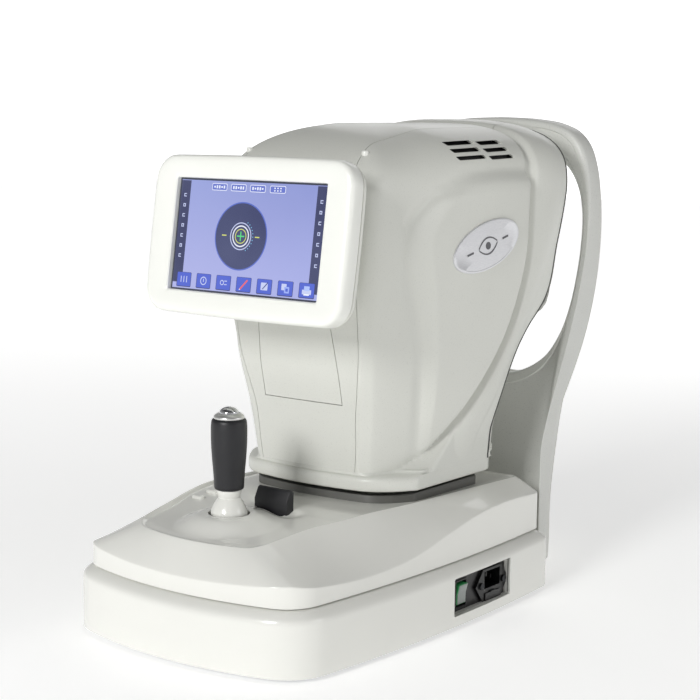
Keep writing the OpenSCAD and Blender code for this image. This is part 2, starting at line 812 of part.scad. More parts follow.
module head_chassis() {
    color(alloy) place() difference() {
        union() {
            translate([0, 0, chassis_z]) linear_extrude(chassis_t)
                polygon([[-52, 200], [52, 200], [78, 260], [78, 316], [-78, 316], [-78, 260]]);
            for (s = [-1, 1])
                rod_z(chassis_z - boss_low, chassis_z + chassis_t + boss_up,
                    s * rod_x0, rod_y0, lift_rod_r + 4);
            rod_z(chassis_z - 8, chassis_z + chassis_t + 8, 0, screw_y, screw_r + 4);
        }
        for (s = [-1, 1]) rod_z(chassis_z - 40, chassis_z + 40, s * rod_x0, rod_y0, lift_rod_r + run_gap);
        rod_z(chassis_z - 40, chassis_z + 40, 0, screw_y, screw_r + run_gap);
    }
}

tube_y0 = 236;
tube_y1 = 396;
module optics_bench() {
    color(black) place() difference() {
        union() {
            rod_y(tube_y0, tube_y1, 0, axis_z, tube_r);
            box([-24, 240, chassis_z + chassis_t], [24, 284, axis_z - tube_r + 3]);
            for (y = [300, 345]) box([-5, y, axis_z + tube_r - 2], [5, y + 8, fan_z]);
            translate([0, 326, fan_z]) linear_extrude(fan_t) difference() {
                round_rect(70, 70, 6);
                circle(r = fan_r + 1.5);
            }
            translate([0, 326, fan_z]) for (a = [45, 135])
                rotate(a) translate([-fan_r - 3, -2, 0]) cube([2 * fan_r + 6, 4, 2]);
        }
        rod_y(tube_y0 - 1, tube_y1 + 1, 0, axis_z, tube_r - 3);
    }
}

fan_z = axis_z + tube_r + 12;
fan_t = 14;
fan_r = 29;
module fan_rotor() {
    color(dark) place() translate([0, 326, fan_z + 3]) {
        cylinder(h = 10, r = 10);
        for (k = [0:6]) rotate(k * 360 / 7) translate([8, 0, 5])
            rotate([35, 0, 0]) translate([0, -5, -0.7]) cube([fan_r - 9, 10, 1.4]);
    }
}

module objective_lens() {
    color([0.55, 0.68, 0.75]) place() rod_y(tube_y1 - 8, tube_y1 - 1, 0, axis_z, tube_r - 3);
}

module lamp_ring() {
    color([0.92, 0.90, 0.80]) place() difference() {
        rod_y(tube_y1, tube_y1 + 4, 0, axis_z, window_r - 1.5);
        rod_y(tube_y1 - 1, tube_y1 + 5, 0, axis_z, tube_r - 6);
    }
}

module camera_unit() {
    color([0.10, 0.35, 0.20]) place() {
        box([-24, tube_y0 - 12, axis_z - 22], [24, tube_y0 - 9, axis_z + 22]);
        rod_y(tube_y0 - 9, tube_y0, 0, axis_z, 14);
    }
}

// ---------- Monitor ----------
floor_top = chassis_z + chassis_t;
lcd_y = 99.1;
bezel_proud = 4;
pivot_back = 34;
pivot_y = lcd_y + pivot_back * cos(mon_tilt);
pivot_z = mon_z - pivot_back * sin(mon_tilt);
pivot_r = 4;

// Places children in the monitor's own frame: X across, Y up the screen, Z out of the screen
module on_screen() {
    translate([0, lcd_y, mon_z]) rotate([90 - mon_tilt, 0, 0]) children();
}

module monitor_bezel() {
    split = mon_t / 2;
    color(cream) place() on_screen() difference() {
        translate([0, 0, bezel_proud - split]) linear_extrude(split) round_rect(mon_w, mon_h, 22);
        translate([0, 0, bezel_proud - split - 1]) linear_extrude(split - 2)
            round_rect(mon_w - 5, mon_h - 5, 20);
        translate([0, 0, -10]) linear_extrude(30) round_rect(lcd_w + 4, lcd_h + 4, 2);
    }
}

module monitor_back() {
    split = mon_t / 2;
    color(pale) place() on_screen() difference() {
        union() {
            translate([0, 0, bezel_proud - mon_t]) linear_extrude(split - 0.5)
                round_rect(mon_w - 4, mon_h - 4, 20);
            for (s = [-1, 1]) translate([s * 10, 0, -pivot_back + 2]) cube([6, 18, 20], center = true);
        }
        translate([0, 0, bezel_proud - mon_t + 3]) linear_extrude(split)
            round_rect(mon_w - 10, mon_h - 10, 17);
        translate([-30, 0, -pivot_back]) rotate([0, 90, 0]) cylinder(h = 60, r = pivot_r + run_gap);
    }
}

module display_panel() {
    color(black) place() on_screen() {
        translate([0, 0, -1]) linear_extrude(1) round_rect(lcd_w + 3.4, lcd_h + 3.4, 1.8);
        translate([0, 0, -7.5]) linear_extrude(6.5) round_rect(lcd_w + 12, lcd_h + 12, 3);
    }
}

module monitor_bracket() {
    foot_y = front_at(mon_z) + wall + 5;
    arm_y = 232;
    leg_x = 38;
    color(steel) place() {
        difference() {
            union() {
                box([-6.5, pivot_y, pivot_z - 7], [6.5, foot_y + 4, pivot_z + 7]);
                rod_x(-6.5, 6.5, pivot_y, pivot_z, 7);
                box([-leg_x - 2, foot_y, pivot_z - 20], [leg_x + 2, foot_y + 4, pivot_z + 20]);
                for (s = [-1, 1])
                    box([s * leg_x - 2, foot_y, pivot_z - 20], [s * leg_x + 2, arm_y + 14, pivot_z - 10]);
                for (s = [-1, 1])
                    box([s * leg_x - 2, arm_y, floor_top], [s * leg_x + 2, arm_y + 14, pivot_z - 10]);
            }
            rod_x(-8, 8, pivot_y, pivot_z, pivot_r);
        }
        rod_x(-13.5, 13.5, pivot_y, pivot_z, pivot_r);
    }
}

// ---------- Printer ----------
roll_y = 204;
roll_z = 218;
roll_r = 20;
module printer_frame() {
    color(black) place() difference() {
        union() {
            for (s = [0, 1]) mirror([s, 0, 0]) box([33, 184, door_z0 - 6], [36, 228, door_z1 - 2]);
            box([-36, 184, door_z0 - 10], [36, 228, door_z0 - 6]);
            for (s = [0, 1]) mirror([s, 0, 0])
                box([28, 205, chassis_z + chassis_t], [34, 225, door_z0 - 10]);
        }
        rod_x(-40, 40, roll_y, roll_z, 2.5 + run_gap);
    }
}

module paper_roll() {
    color([0.96, 0.96, 0.94]) place() {
        rod_x(-29, 29, roll_y, roll_z, roll_r);
        rod_x(-35.5, 35.5, roll_y, roll_z, 2.5);
    }
}

// ---------- Headrest ----------
// Side profile of the arch, y from its foot's front face: upright below, then swept to the patient
arch_foot_z = 30;
module place_rest() {
    place() translate([0, arch_y, 0]) children();
}
function bez(a, b, c, d, t) = mix(arc3(a, b, c, t), arc3(b, c, d, t), t);
arch_front = concat([[0, arch_foot_z], [0, 110]],
    [for (i = [1:10]) bez([0, 110], [0, 150], [69, 225], [78, 330], i / 10)], [[78, arch_top + 1]]);
arch_rear = concat([[19, arch_foot_z], [19, 105]],
    [for (i = [1:10]) bez([19, 105], [19, 170], [95, 185], [101, 317], i / 10)], [[101, arch_top + 1]]);
function swept(front_in, rear_in) = concat([for (p = arch_front) [p[0] + front_in, p[1]]],
    [for (i = [len(arch_rear) - 1:-1:0]) [arch_rear[i][0] - rear_in, arch_rear[i][1]]]);

module sweep_band(front_in, rear_in, w) {
    translate([-w, 0, 0]) rotate([90, 0, 90]) linear_extrude(2 * w) polygon(swept(front_in, rear_in));
}
module upright(p) {
    translate([0, 130, 0]) rotate([90, 0, 0]) linear_extrude(150) polygon(p);
}
function arch_half(w, shrink) = concat(
    [[w, arch_foot_z - 1 + shrink]],
    [for (i = [0:8]) bez([w, 322], [w - 1, 380], [w - 22, arch_top - shrink], [0, arch_top - shrink], i / 8)]
);
function arch_outline(shrink) = both_sides(arch_half(arch_w - shrink, shrink));
hole_w = arch_w - column_w;
function hole_half() = concat(
    [for (i = [0:7]) bez([0, 174], [58, 174], [hole_w - 1, 190], [hole_w, 245], i / 7)],
    [for (i = [0:6]) bez([hole_w, 330], [hole_w - 1, 366], [hole_w - 22, 384], [0, 384], i / 6)]
);
function hole_outline() = both_sides(hole_half());

module headrest_arch() {
    color(pale) place_rest() difference() {
        union() {
            intersection() {
                sweep_band(0, 0, arch_w + 5);
                upright(arch_outline(0));
            }
            box([-70, base_d - arch_y, 8], [70, 19, 40]);
        }
        upright(hole_outline());
        intersection() {
            sweep_band(wall, -5, arch_w - wall);
            box([-arch_w + wall, -3, arch_foot_z + wall], [arch_w - wall, 87, 160]);
        }
        box([-67, base_d - arch_y - 5, 11], [67, 20, 37]);
    }
}

module headrest_back() {
    color(cream) place_rest() difference() {
        union() {
            intersection() {
                translate([0, wall, 0]) sweep_band(16, 0.4, arch_w - wall - 0.3);
                box([-arch_w + wall + 0.3, -3, arch_foot_z + wall + 0.3],
                    [arch_w - wall - 0.3, 97, 159.5]);
            }
            box([-40, 19.5, arch_foot_z + wall + 4], [40, 117, 116]);
        }
        box([-37, 17, arch_foot_z + wall + 7], [37, 114, 113]);
        rod_z(100, 120, 0, post_y, post_r + 0.3);
    }
}

module forehead_pad() {
    color([0.80, 0.82, 0.82]) place_rest() difference() {
        intersection() {
            box([-70, 101.05, 374], [70, 113, 404]);
            rod_z(360, 410, 0, 177, 102);
        }
        rod_z(360, 410, 0, 193, 90);
    }
}

post_y = 87;
post_r = 8;
post_low = 42;
cup_z = 152;
chin_screw_r = 4;
module chin_post() {
    color(steel) place_rest() difference() {
        rod_z(post_low, cup_z, 0, post_y, post_r);
        rod_z(post_low - 1, cup_z - 12, 0, post_y, chin_screw_r + 0.2);
    }
}
module chin_screw() {
    color(brass) place_rest() rod_z(arch_foot_z + wall + 7.3, 108, 0, post_y, chin_screw_r);
}
module chin_motor() {
    color(black) place_rest() {
        box([-18, 41, arch_foot_z + wall + 7], [18, 73, 78]);
    }
}
cup_h = 16;
function oval(a, b) = [for (t = [0:10:350]) [a * cos(t), b * sin(t)]];
module chin_cup() {
    color(cream) place_rest() difference() {
        translate([0, cup_y, cup_z]) linear_extrude(cup_h) polygon(oval(cup_w, cup_depth));
        translate([0, cup_y, cup_z + 4]) linear_extrude(cup_h) polygon(oval(cup_w - 3, cup_depth - 3));
    }
}

base_housing();
base_plate();
feet();
power_panel();
power_inlet();
panel_screws();
depth_racks();
friction_pad();
power_supply();
rocker_switch();
fuse_drawer();
headrest_arch();
headrest_back();
forehead_pad();
chin_motor();
chin_screw();
chin_post();
chin_cup();
cross_frame();
cross_axle();
stage_cover();
stage_plate();
axle_bush();
turret();
lift_rods();
lift_motor();
motor_pulley();
lift_belt();
lift_screw();
joystick_socket();
joystick_gimbal();
joystick_shaft();
joystick_bell();
joystick_grip();
grip_ring();
capture_button();
chin_up_button();
chin_down_button();
lock_lever();
head_chassis();
head_skirt();
front_cover();
left_cover();
right_cover();
rear_cover();
badges();
vent_grilles();
cover_screws();
optics_bench();
objective_lens();
lamp_ring();
camera_unit();
fan_rotor();
monitor_bracket();
monitor_bezel();
monitor_back();
display_panel();
printer_frame();
printer_door();
paper_roll();
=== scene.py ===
import math

import bmesh
import bpy
import numpy as np
from mathutils import Matrix, Vector


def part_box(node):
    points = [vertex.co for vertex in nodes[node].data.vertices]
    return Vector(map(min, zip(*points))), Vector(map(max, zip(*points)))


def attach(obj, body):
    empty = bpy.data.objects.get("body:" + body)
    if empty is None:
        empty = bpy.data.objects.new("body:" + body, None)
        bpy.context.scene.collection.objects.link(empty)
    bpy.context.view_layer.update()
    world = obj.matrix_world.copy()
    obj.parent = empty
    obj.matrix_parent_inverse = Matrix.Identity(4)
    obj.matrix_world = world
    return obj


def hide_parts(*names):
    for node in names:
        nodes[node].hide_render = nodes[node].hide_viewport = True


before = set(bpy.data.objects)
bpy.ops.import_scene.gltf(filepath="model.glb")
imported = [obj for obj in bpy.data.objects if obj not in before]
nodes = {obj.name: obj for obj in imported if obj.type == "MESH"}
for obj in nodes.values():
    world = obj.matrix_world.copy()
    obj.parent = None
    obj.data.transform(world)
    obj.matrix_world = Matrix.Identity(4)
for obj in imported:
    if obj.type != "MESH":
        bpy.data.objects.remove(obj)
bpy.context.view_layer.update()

# ---------------------------------------------------------------- Camera and studio
# The instrument stands on a pale floor in a white room, under large soft lamps.
# Sizes in this file are millimetres from the middle of the base's lower front edge.
MM = 0.001
base_low, base_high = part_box("base_housing")
DATUM = np.array([0, base_low.y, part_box("base_plate")[0].z])


def row(points):
    """Millimetres from the base's lower front edge, turned into metres in the row frame."""
    return np.asarray(points, float) * MM + DATUM


def drawn(node):
    """Lowest and highest corner of a CAD node, in the millimetres of this file."""
    return [(np.array(corner) - DATUM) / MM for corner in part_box(node)]


def look(azimuth, elevation, roll):
    """Right, up and back axes of a view that is turned by azimuth and raised by elevation."""
    a, e, r = (math.radians(v) for v in (azimuth, elevation, roll))
    ahead = np.array([-math.sin(a) * math.cos(e), math.cos(a) * math.cos(e), -math.sin(e)])
    right = np.array([math.cos(a), math.sin(a), 0])
    down = np.cross(ahead, right)
    turned = math.cos(r) * right + math.sin(r) * down
    dropped = math.cos(r) * down - math.sin(r) * right
    return np.stack([turned, -dropped, -ahead], 1)


def lamp(name, width, height, power, place, aim, colour=(1, 1, 1)):
    """A rectangular area lamp at a place, turned to face the aim, both in metres."""
    data = bpy.data.lights.new(name, "AREA")
    data.shape = "RECTANGLE"
    data.size, data.size_y = width, height
    data.energy = power
    data.color = colour
    item = bpy.data.objects.new(name, data)
    bpy.context.scene.collection.objects.link(item)
    item.location = place
    item.rotation_mode = "QUATERNION"
    item.rotation_quaternion = (Vector(place) - Vector(aim)).to_track_quat("Z", "Y")


def tint(red, green, blue):
    """Screen colour, 0 to 255, as a linear colour."""
    v = np.array([red, green, blue]) / 255
    return [*np.where(v < 0.04045, v / 12.92, ((v + 0.055) / 1.055) ** 2.4).tolist(), 1.0]


class Wire:
    """A node socket that takes part in sums: each operator adds one Math node."""

    def __init__(self, tree, socket):
        self.tree, self.socket = tree, socket

    def math(self, operation, first, second=0.0):
        """The wire of a maths node over two values or wires."""
        return add(self.tree, "ShaderNodeMath", {"operation": operation}, {0: first, 1: second})

    def __add__(self, other):
        return self.math("ADD", self, other)

    def __radd__(self, other):
        return self.math("ADD", other, self)

    def __sub__(self, other):
        return self.math("SUBTRACT", self, other)

    def __rsub__(self, other):
        return self.math("SUBTRACT", other, self)

    def __mul__(self, other):
        return self.math("MULTIPLY", self, other)

    def __rmul__(self, other):
        return self.math("MULTIPLY", other, self)

    def __truediv__(self, other):
        return self.math("DIVIDE", self, other)

    def __pow__(self, other):
        return self.math("POWER", self, other)


def add(tree, kind, settings, sockets, out=0):
    """Adds a node: its settings first, then the values or links of its sockets; gives one output."""
    node = tree.nodes.new(kind)
    for name, value in settings.items():
        if name == "stops":
            ramp = node.color_ramp
            while len(ramp.elements) < len(value):
                ramp.elements.new(0.5)
            for element, (place, colour) in zip(ramp.elements, value):
                element.position, element.color = place, colour
        else:
            setattr(node, name, value)
    for name, value in sockets.items():
        if isinstance(value, Wire):
            tree.links.new(value.socket, node.inputs[name])
        else:
            node.inputs[name].default_value = value
    return Wire(tree, node.outputs[out])


def finish(name, constants, varying=None):
    """A material: constants go on the shader's own sockets, varying(tree, place) gives links for
    the sockets that change over the surface. place is the point in the row frame, in metres."""
    material = bpy.data.materials.new(name)
    material.use_nodes = True
    tree = material.node_tree
    shader = tree.nodes["Principled BSDF"]
    for socket, value in constants.items():
        shader.inputs[socket].default_value = value
    if varying:
        place = add(tree, "ShaderNodeTexCoord", {}, {}, "Object")
        for socket, wire in varying(tree, place).items():
            tree.links.new(wire.socket, shader.inputs[socket])
    return material


def noise(tree, place, scale, detail=2.0, rough=0.5, out=0):
    """Soft random pattern, scale in cycles a metre."""
    return add(tree, "ShaderNodeTexNoise", {}, {"Vector": place, "Scale": scale, "Detail": detail,
                                                "Roughness": rough}, out)


def blend(tree, factor, first, second):
    """Mixes two colours, or colour links, by a factor."""
    return add(tree, "ShaderNodeMix", {"data_type": "RGBA"}, {0: factor, 6: first, 7: second}, 2)


def bump(tree, height, distance, strength=1.0):
    """Normal of a surface raised by the height link times a distance."""
    return add(tree, "ShaderNodeBump", {}, {"Height": height, "Distance": distance,
                                            "Strength": strength})


def limit(wire, low, high):
    """Rises from 0 to 1 as the wire goes from low to high."""
    return add(wire.tree, "ShaderNodeMapRange", {"clamp": True}, {"Value": wire, 1: low, 2: high})


VIEW_TURN, VIEW_RISE, VIEW_ROLL, LENS = 37.3, 8.18, -0.58, 86.85
VIEW_FROM = [870.7, -908.3, 420.7]
camera_data = bpy.data.cameras.new("camera")
camera_data.lens = LENS
camera_data.sensor_width = 36
camera = bpy.data.objects.new("camera", camera_data)
bpy.context.scene.collection.objects.link(camera)
stand = np.eye(4)
stand[:3, :3] = look(VIEW_TURN, VIEW_RISE, VIEW_ROLL)
stand[:3, 3] = row(VIEW_FROM)
camera.matrix_world = Matrix(stand.tolist())
bpy.context.scene.camera = camera
bpy.context.scene.view_settings.view_transform = "Standard"

room = bpy.data.worlds.new("room")
room.use_nodes = True
bpy.context.scene.world = room
backdrop = room.node_tree.nodes["Background"]
seen = add(room.node_tree, "ShaderNodeLightPath", {}, {}, "Is Camera Ray")
toward = add(room.node_tree, "ShaderNodeTexCoord", {}, {}, "Generated")
height = add(room.node_tree, "ShaderNodeSeparateXYZ", {}, {0: toward}, "Z")
wall_light = 0.42 - limit(height, 0.1, 0.8) * 0.34
room.node_tree.links.new((wall_light + seen).socket, backdrop.inputs["Strength"])
backdrop.inputs["Color"].default_value = (1, 1, 1, 1)

floor_mesh = bpy.data.meshes.new("floor")
FLOOR_HALF = 6.0
floor_mesh.from_pydata([(-FLOOR_HALF, -FLOOR_HALF, 0), (FLOOR_HALF, -FLOOR_HALF, 0),
                        (FLOOR_HALF, FLOOR_HALF, 0), (-FLOOR_HALF, FLOOR_HALF, 0)], [], [(0, 1, 2, 3)])
floor = bpy.data.objects.new("floor", floor_mesh)
bpy.context.scene.collection.objects.link(floor)


def floor_paint(tree, place):
    """Pale paint that glows more and more away from the middle, so that its edge melts away."""
    away = add(tree, "ShaderNodeVectorMath", {"operation": "LENGTH"}, {0: place}, "Value")
    glow = limit(away, 0.1, 2.4)
    grain_of = noise(tree, place, 3.0)
    return {"Base Color": blend(tree, grain_of, tint(246, 246, 245), tint(241, 241, 240)),
            "Emission Color": blend(tree, glow, (0.4, 0.4, 0.4, 1), (0.85, 0.85, 0.85, 1))}


floor_mesh.materials.append(finish("floor_paint", {"Roughness": 0.85, "Emission Strength": 1.0},
                                   floor_paint))

AIM = (0, 0, 0.2)
lamp("right_lamp", 0.9, 1.1, 6.5, (2.2, 0.6, 0.9), AIM)
lamp("front_lamp", 0.7, 0.7, 33, (0.2, -2.4, 1.2), AIM)
lamp("top_lamp", 1.6, 1.6, 1.5, (0.1, 0.3, 2.4), AIM)
lamp("rear_lamp", 1.4, 1.2, 6, (-1.0, 2.1, 1.3), AIM)


# ---------------------------------------------------------------- Base housing
# One deep moulding in warm white gloss plastic: bowed front and sides, a rounded shoulder
# under the stage, and a recess in its right wall for the mains inlet and the switch.
HALF_W = (base_high.x - base_low.x) / 2 / MM
LENGTH = (base_high.y - base_low.y) / MM
WALL_T = 3.0
GLOSS_WHITE = tint(240, 240, 234)


def conic(start, corner, end, count):
    """Quadratic curve from start to end, bent towards the corner, without its last point."""
    t = np.arange(count)[:, None] / count
    start, corner, end = (np.asarray(p, float) for p in (start, corner, end))
    return (1 - t) ** 2 * start + 2 * t * (1 - t) * corner + t * t * end


def line(start, end, count):
    """Even points from start to end, without the last one."""
    t = np.arange(count)[:, None] / count
    return np.asarray(start, float) * (1 - t) + np.asarray(end, float) * t


def both_sides(half):
    """Closes a half outline, from the front middle to the rear middle, with its mirror image."""
    other = half[1:-1][::-1] * ([-1] + [1] * (half.shape[1] - 1))
    return np.concatenate([half, other])


def plan_ring(inset, rear, counts=(16, 14, 60, 10, 10)):
    """The base's outline: y = 0.00153 x^2 in front, sides bowed by 0.00033 (y - waist)^2."""
    def side_x(y):
        """Half the width of the outline at a depth."""
        return HALF_W - 0.00033 * (y - 218.4) ** 2 - inset
    def front_y(x):
        """Depth of the bowed front at a distance from the middle."""
        return inset + 0.00153 * x * x
    front_r, rear_r = max(29 - inset, 6), max(12 - inset / 2, 4)
    corner_x = side_x(front_r)
    start_x, side_y = corner_x - front_r, front_y(corner_x) + front_r
    end_y = LENGTH - rear
    x = np.arange(counts[0]) / counts[0] * start_x
    y = side_y + np.arange(counts[2]) / counts[2] * (end_y - rear_r - side_y)
    rear_x = side_x(end_y)
    return both_sides(np.concatenate([
        np.stack([x, front_y(x)], 1),
        conic([start_x, front_y(start_x)], [corner_x, front_y(corner_x)],
              [side_x(side_y), side_y], counts[1]),
        np.stack([side_x(y), y], 1),
        conic([side_x(end_y - rear_r), end_y - rear_r], [rear_x, end_y],
              [rear_x - rear_r, end_y], counts[3]),
        line([rear_x - rear_r, end_y], [0, end_y], counts[4]), [[0, end_y]]]))


def at_height(ring, z):
    """Adds a height, one value or one for each point, to a plan outline."""
    return np.concatenate([ring, np.broadcast_to(np.reshape(z, (-1, 1)), (len(ring), 1))], 1)


def settle(item):
    """Applies an object's modifiers to its mesh."""
    made = bpy.data.meshes.new_from_object(
        item.evaluated_get(bpy.context.evaluated_depsgraph_get()))
    old = item.data
    item.modifiers.clear()
    item.data = made
    bpy.data.meshes.remove(old)


def shade(item, angle=34):
    """Smooth shading that breaks at edges sharper than the angle."""
    item.data.shade_smooth()
    item.data.set_sharp_from_angle(angle=math.radians(angle))


def build(name, grids, wall=0.0, angle=34, facing=None):
    """A mesh from grids of points, in millimetres: quads between neighbours. A grid is (points,
    columns closed?, rows closed?). Doubles are merged, faces turned outwards (an open sheet turns
    most of its area to the facing direction), and a wall may be grown inwards."""
    points, quads, start = [], [], 0
    for grid, round_columns, round_rows in grids:
        n, m = grid.shape[:2]
        index = start + np.arange(n * m).reshape(n, m)
        if round_columns:
            index = np.concatenate([index, index[:, :1]], 1)
        if round_rows:
            index = np.concatenate([index, index[:1]], 0)
        quads.append(np.stack([index[:-1, :-1], index[:-1, 1:], index[1:, 1:], index[1:, :-1]],
                              -1).reshape(-1, 4))
        points.append(grid.reshape(-1, 3))
        start += n * m
    mesh = bpy.data.meshes.new(name)
    mesh.from_pydata(row(np.concatenate(points)), [], np.concatenate(quads))
    work = bmesh.new()
    work.from_mesh(mesh)
    bmesh.ops.remove_doubles(work, verts=work.verts, dist=0.02 * MM)
    bmesh.ops.dissolve_degenerate(work, dist=0.005 * MM, edges=work.edges)
    bmesh.ops.recalc_face_normals(work, faces=work.faces)
    work.to_mesh(mesh)
    if facing:
        area, normal = np.zeros(len(mesh.polygons)), np.zeros(3 * len(mesh.polygons))
        mesh.polygons.foreach_get("area", area)
        mesh.polygons.foreach_get("normal", normal)
        if (area @ normal.reshape(-1, 3)) @ np.asarray(facing, float) < 0:
            bmesh.ops.reverse_faces(work, faces=work.faces)
            work.to_mesh(mesh)
    work.free()
    item = bpy.data.objects.new(name, mesh)
    bpy.context.scene.collection.objects.link(item)
    if wall:
        shell = item.modifiers.new("wall", "SOLIDIFY")
        shell.thickness = wall * MM
        shell.offset = -1
        settle(item)
    shade(item, angle)
    return item


def carve(item, cutters, operation="DIFFERENCE"):
    """Cuts closed tool shapes out of a piece, or keeps what lies inside the one tool."""
    for tool in cutters:
        cut = item.modifiers.new("cut", "BOOLEAN")
        cut.operation = operation
        cut.solver = "MANIFOLD"
        cut.object = tool
        settle(item)
        bpy.data.objects.remove(tool)
    shade(item)
    return item


def prism(outline, low, high, axis=2):
    """A closed block: an outline in the two other axes, from low to high along the axis."""
    outline = np.asarray(outline, float)
    n = len(outline)
    flat = [np.insert(outline, axis, level, 1) for level in (low, high)]
    mesh = bpy.data.meshes.new("tool")
    ends = [list(range(n)), list(range(2 * n - 1, n - 1, -1))]
    sides = [[i, n + i, n + (i + 1) % n, (i + 1) % n] for i in range(n)]
    mesh.from_pydata(row(np.concatenate(flat)), [], ends + sides)
    work = bmesh.new()
    work.from_mesh(mesh)
    bmesh.ops.recalc_face_normals(work, faces=work.faces)
    bmesh.ops.triangulate(work, faces=[f for f in work.faces if len(f.verts) > 4])
    work.to_mesh(mesh)
    work.free()
    item = bpy.data.objects.new("tool", mesh)
    bpy.context.scene.collection.objects.link(item)
    return item


def rounded(width, height, radius, centre=(0, 0), steps=6):
    """Outline of a rectangle with round corners."""
    a = np.radians(np.arange(steps + 1) * 90 / steps)
    arc = np.stack([np.cos(a), np.sin(a)], 1) * radius
    w, h = width / 2 - radius, height / 2 - radius
    turn = [(1, 1), (-1, 1), (-1, -1), (1, -1)]
    corners = [(arc if i % 2 == 0 else arc[::-1]) * turn[i] + np.array([w, h]) * turn[i]
               for i in range(4)]
    return np.concatenate(corners) + centre


def own(item, body, material, slot, *stands_for):
    """Gives a piece its finish, its body and the CAD nodes that it stands for."""
    item.data.materials.clear()
    item.data.materials.append(material)
    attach(item, body)
    if stands_for:
        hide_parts(*stands_for)
    return item


def moulded(name, colour, rough, grain, depth, fleck=0.0, coat=0.0):
    """Moulded plastic: grain is the size of its texture in millimetres, depth how deep it is,
    fleck how much darker its finest specks are, with a slow drift in colour and gloss."""
    def varying(tree, place):
        """Links for the colour, the gloss and the fine relief."""
        slow = noise(tree, place, 9.0, 3.0)
        fine = noise(tree, place, 1000 / grain, 3.0, 0.6)
        specks = limit(noise(tree, place, 1400 / grain, 1.0), 0.62, 0.72)
        shade_of = [v * (1 - fleck) for v in colour[:3]] + [1]
        drift = [v * 0.965 for v in colour[:3]] + [1]
        body = blend(tree, limit(slow, 0.35, 0.7), colour, drift)
        return {"Base Color": blend(tree, specks, body, blend(tree, 0.5, body, shade_of)),
                "Roughness": rough + (slow - 0.5) * 0.10 + (fine - 0.5) * 0.06,
                "Normal": bump(tree, fine, depth * MM)}
    return finish(name, {"IOR": 1.5, "Coat Weight": coat, "Coat Roughness": 0.08}, varying)


gloss_white = moulded("gloss_white_plastic", GLOSS_WHITE, 0.22, 2.2, 0.006, 0.03, 0.5)
SHOULDER = [(0.9, 0), (0.25, 0.3), (0, 1.0), (0, 14), (0, 28), (0, 40.5), (0.35, 43.0),
            (1.3, 45.0), (2.8, 46.6), (5, 48.2), (8, 49.9), (10, 50.7), (13, 51.0), (20, 51.0)]
base_rings = [at_height(plan_ring(inset, inset), z) for inset, z in SHOULDER]
spine = base_rings[-1] * [0, 1, 1]
spine[:, 1] = np.clip(spine[:, 1], 90, 290)
base_rings.append(spine)
base_shell = build("base_shell", [(np.stack(base_rings), True, False)], WALL_T, facing=(0, 0, 1))
panel_low, panel_high = drawn("power_panel")
PANEL_EDGE = 2.0
recess_y = panel_low[1] + PANEL_EDGE, panel_high[1] - PANEL_EDGE
recess_z = panel_low[2] + PANEL_EDGE, panel_high[2] - 0.8
recess_mid = sum(recess_y) / 2, sum(recess_z) / 2
recess_size = recess_y[1] - recess_y[0], recess_z[1] - recess_z[0]
carve(base_shell, [prism(rounded(*recess_size, 1.6, recess_mid), panel_low[0] + 1, HALF_W + 9, 0)])
own(base_shell, "base", gloss_white, "cream_plastic", "base_housing")

# Lining of the recess: four thin walls from the housing back to the black panel.
LINER_T = 1.2
liner_rings = []
for grow, x in ((0, panel_high[0] + 0.05), (0, HALF_W - 3.9), (LINER_T, HALF_W - 3.9),
                (LINER_T, panel_high[0] + 0.05)):
    ring = rounded(recess_size[0] + 2 * grow, recess_size[1] + 2 * grow, 1.6 + grow, recess_mid)
    liner_rings.append(np.insert(ring, 0, x, 1))
recess_liner = build("recess_liner", [(np.stack(liner_rings), True, True)])
own(recess_liner, "base", gloss_white, "cream_plastic")


# ---------------------------------------------------------------- Stage cover
# A gloss moulding that slides on the base. Its wall rises in an S towards the rear, slopes in
# to a raised rim, and a shallow dish in front carries the joystick's mound.
STAGE_IN = 8.84
STAGE_LOW = drawn("stage_cover")[0][2]
MOUND_TOP = drawn("joystick_bell")[0][2] + 1.0
JOY_Y = (drawn("joystick_shaft")[0][1] + drawn("joystick_shaft")[1][1]) / 2
MOUND_R, MOUND_RING_R, HOLE_R = 46.0, 20.5, 16.8
STAGE_COUNTS = (16, 14, 150, 10, 10)


def through(places, values, at):
    """A smooth curve through given values: cubic pieces whose slopes are the mean of both sides."""
    places, values = np.asarray(places, float), np.asarray(values, float)
    at = np.asarray(at, float)
    rise = np.diff(values) / np.diff(places)
    slope = np.concatenate([rise[:1], (rise[1:] + rise[:-1]) / 2, rise[-1:]])
    i = np.clip(np.searchsorted(places, at) - 1, 0, len(rise) - 1)
    h = places[i + 1] - places[i]
    t = np.clip((at - places[i]) / h, 0, 1)
    return (values[i] * (1 + 2 * t) * (1 - t) ** 2 + slope[i] * h * t * (1 - t) ** 2
            + values[i + 1] * t * t * (3 - 2 * t) + slope[i + 1] * h * t * t * (t - 1))


def ease(t):
    """Smooth step from 0 to 1."""
    t = np.clip(t, 0, 1)
    return t * t * (3 - 2 * t)


def wall_top(x, y):
    """Height of the stage's wall: 65 in front, up to 71 at the corner, then the S-shaped rise."""
    side = through([20, 36, 60, 92, 125, 163, 214, 253, 302, 363],
                   [71, 68, 65, 63, 63.5, 67, 78, 85, 87.5, 84], y)
    front = 65 + 5.5 * (np.abs(x) / 118) ** 2.2
    return np.where(np.abs(x) < 60, front, np.where(y < 30, np.minimum(front, 71), side))


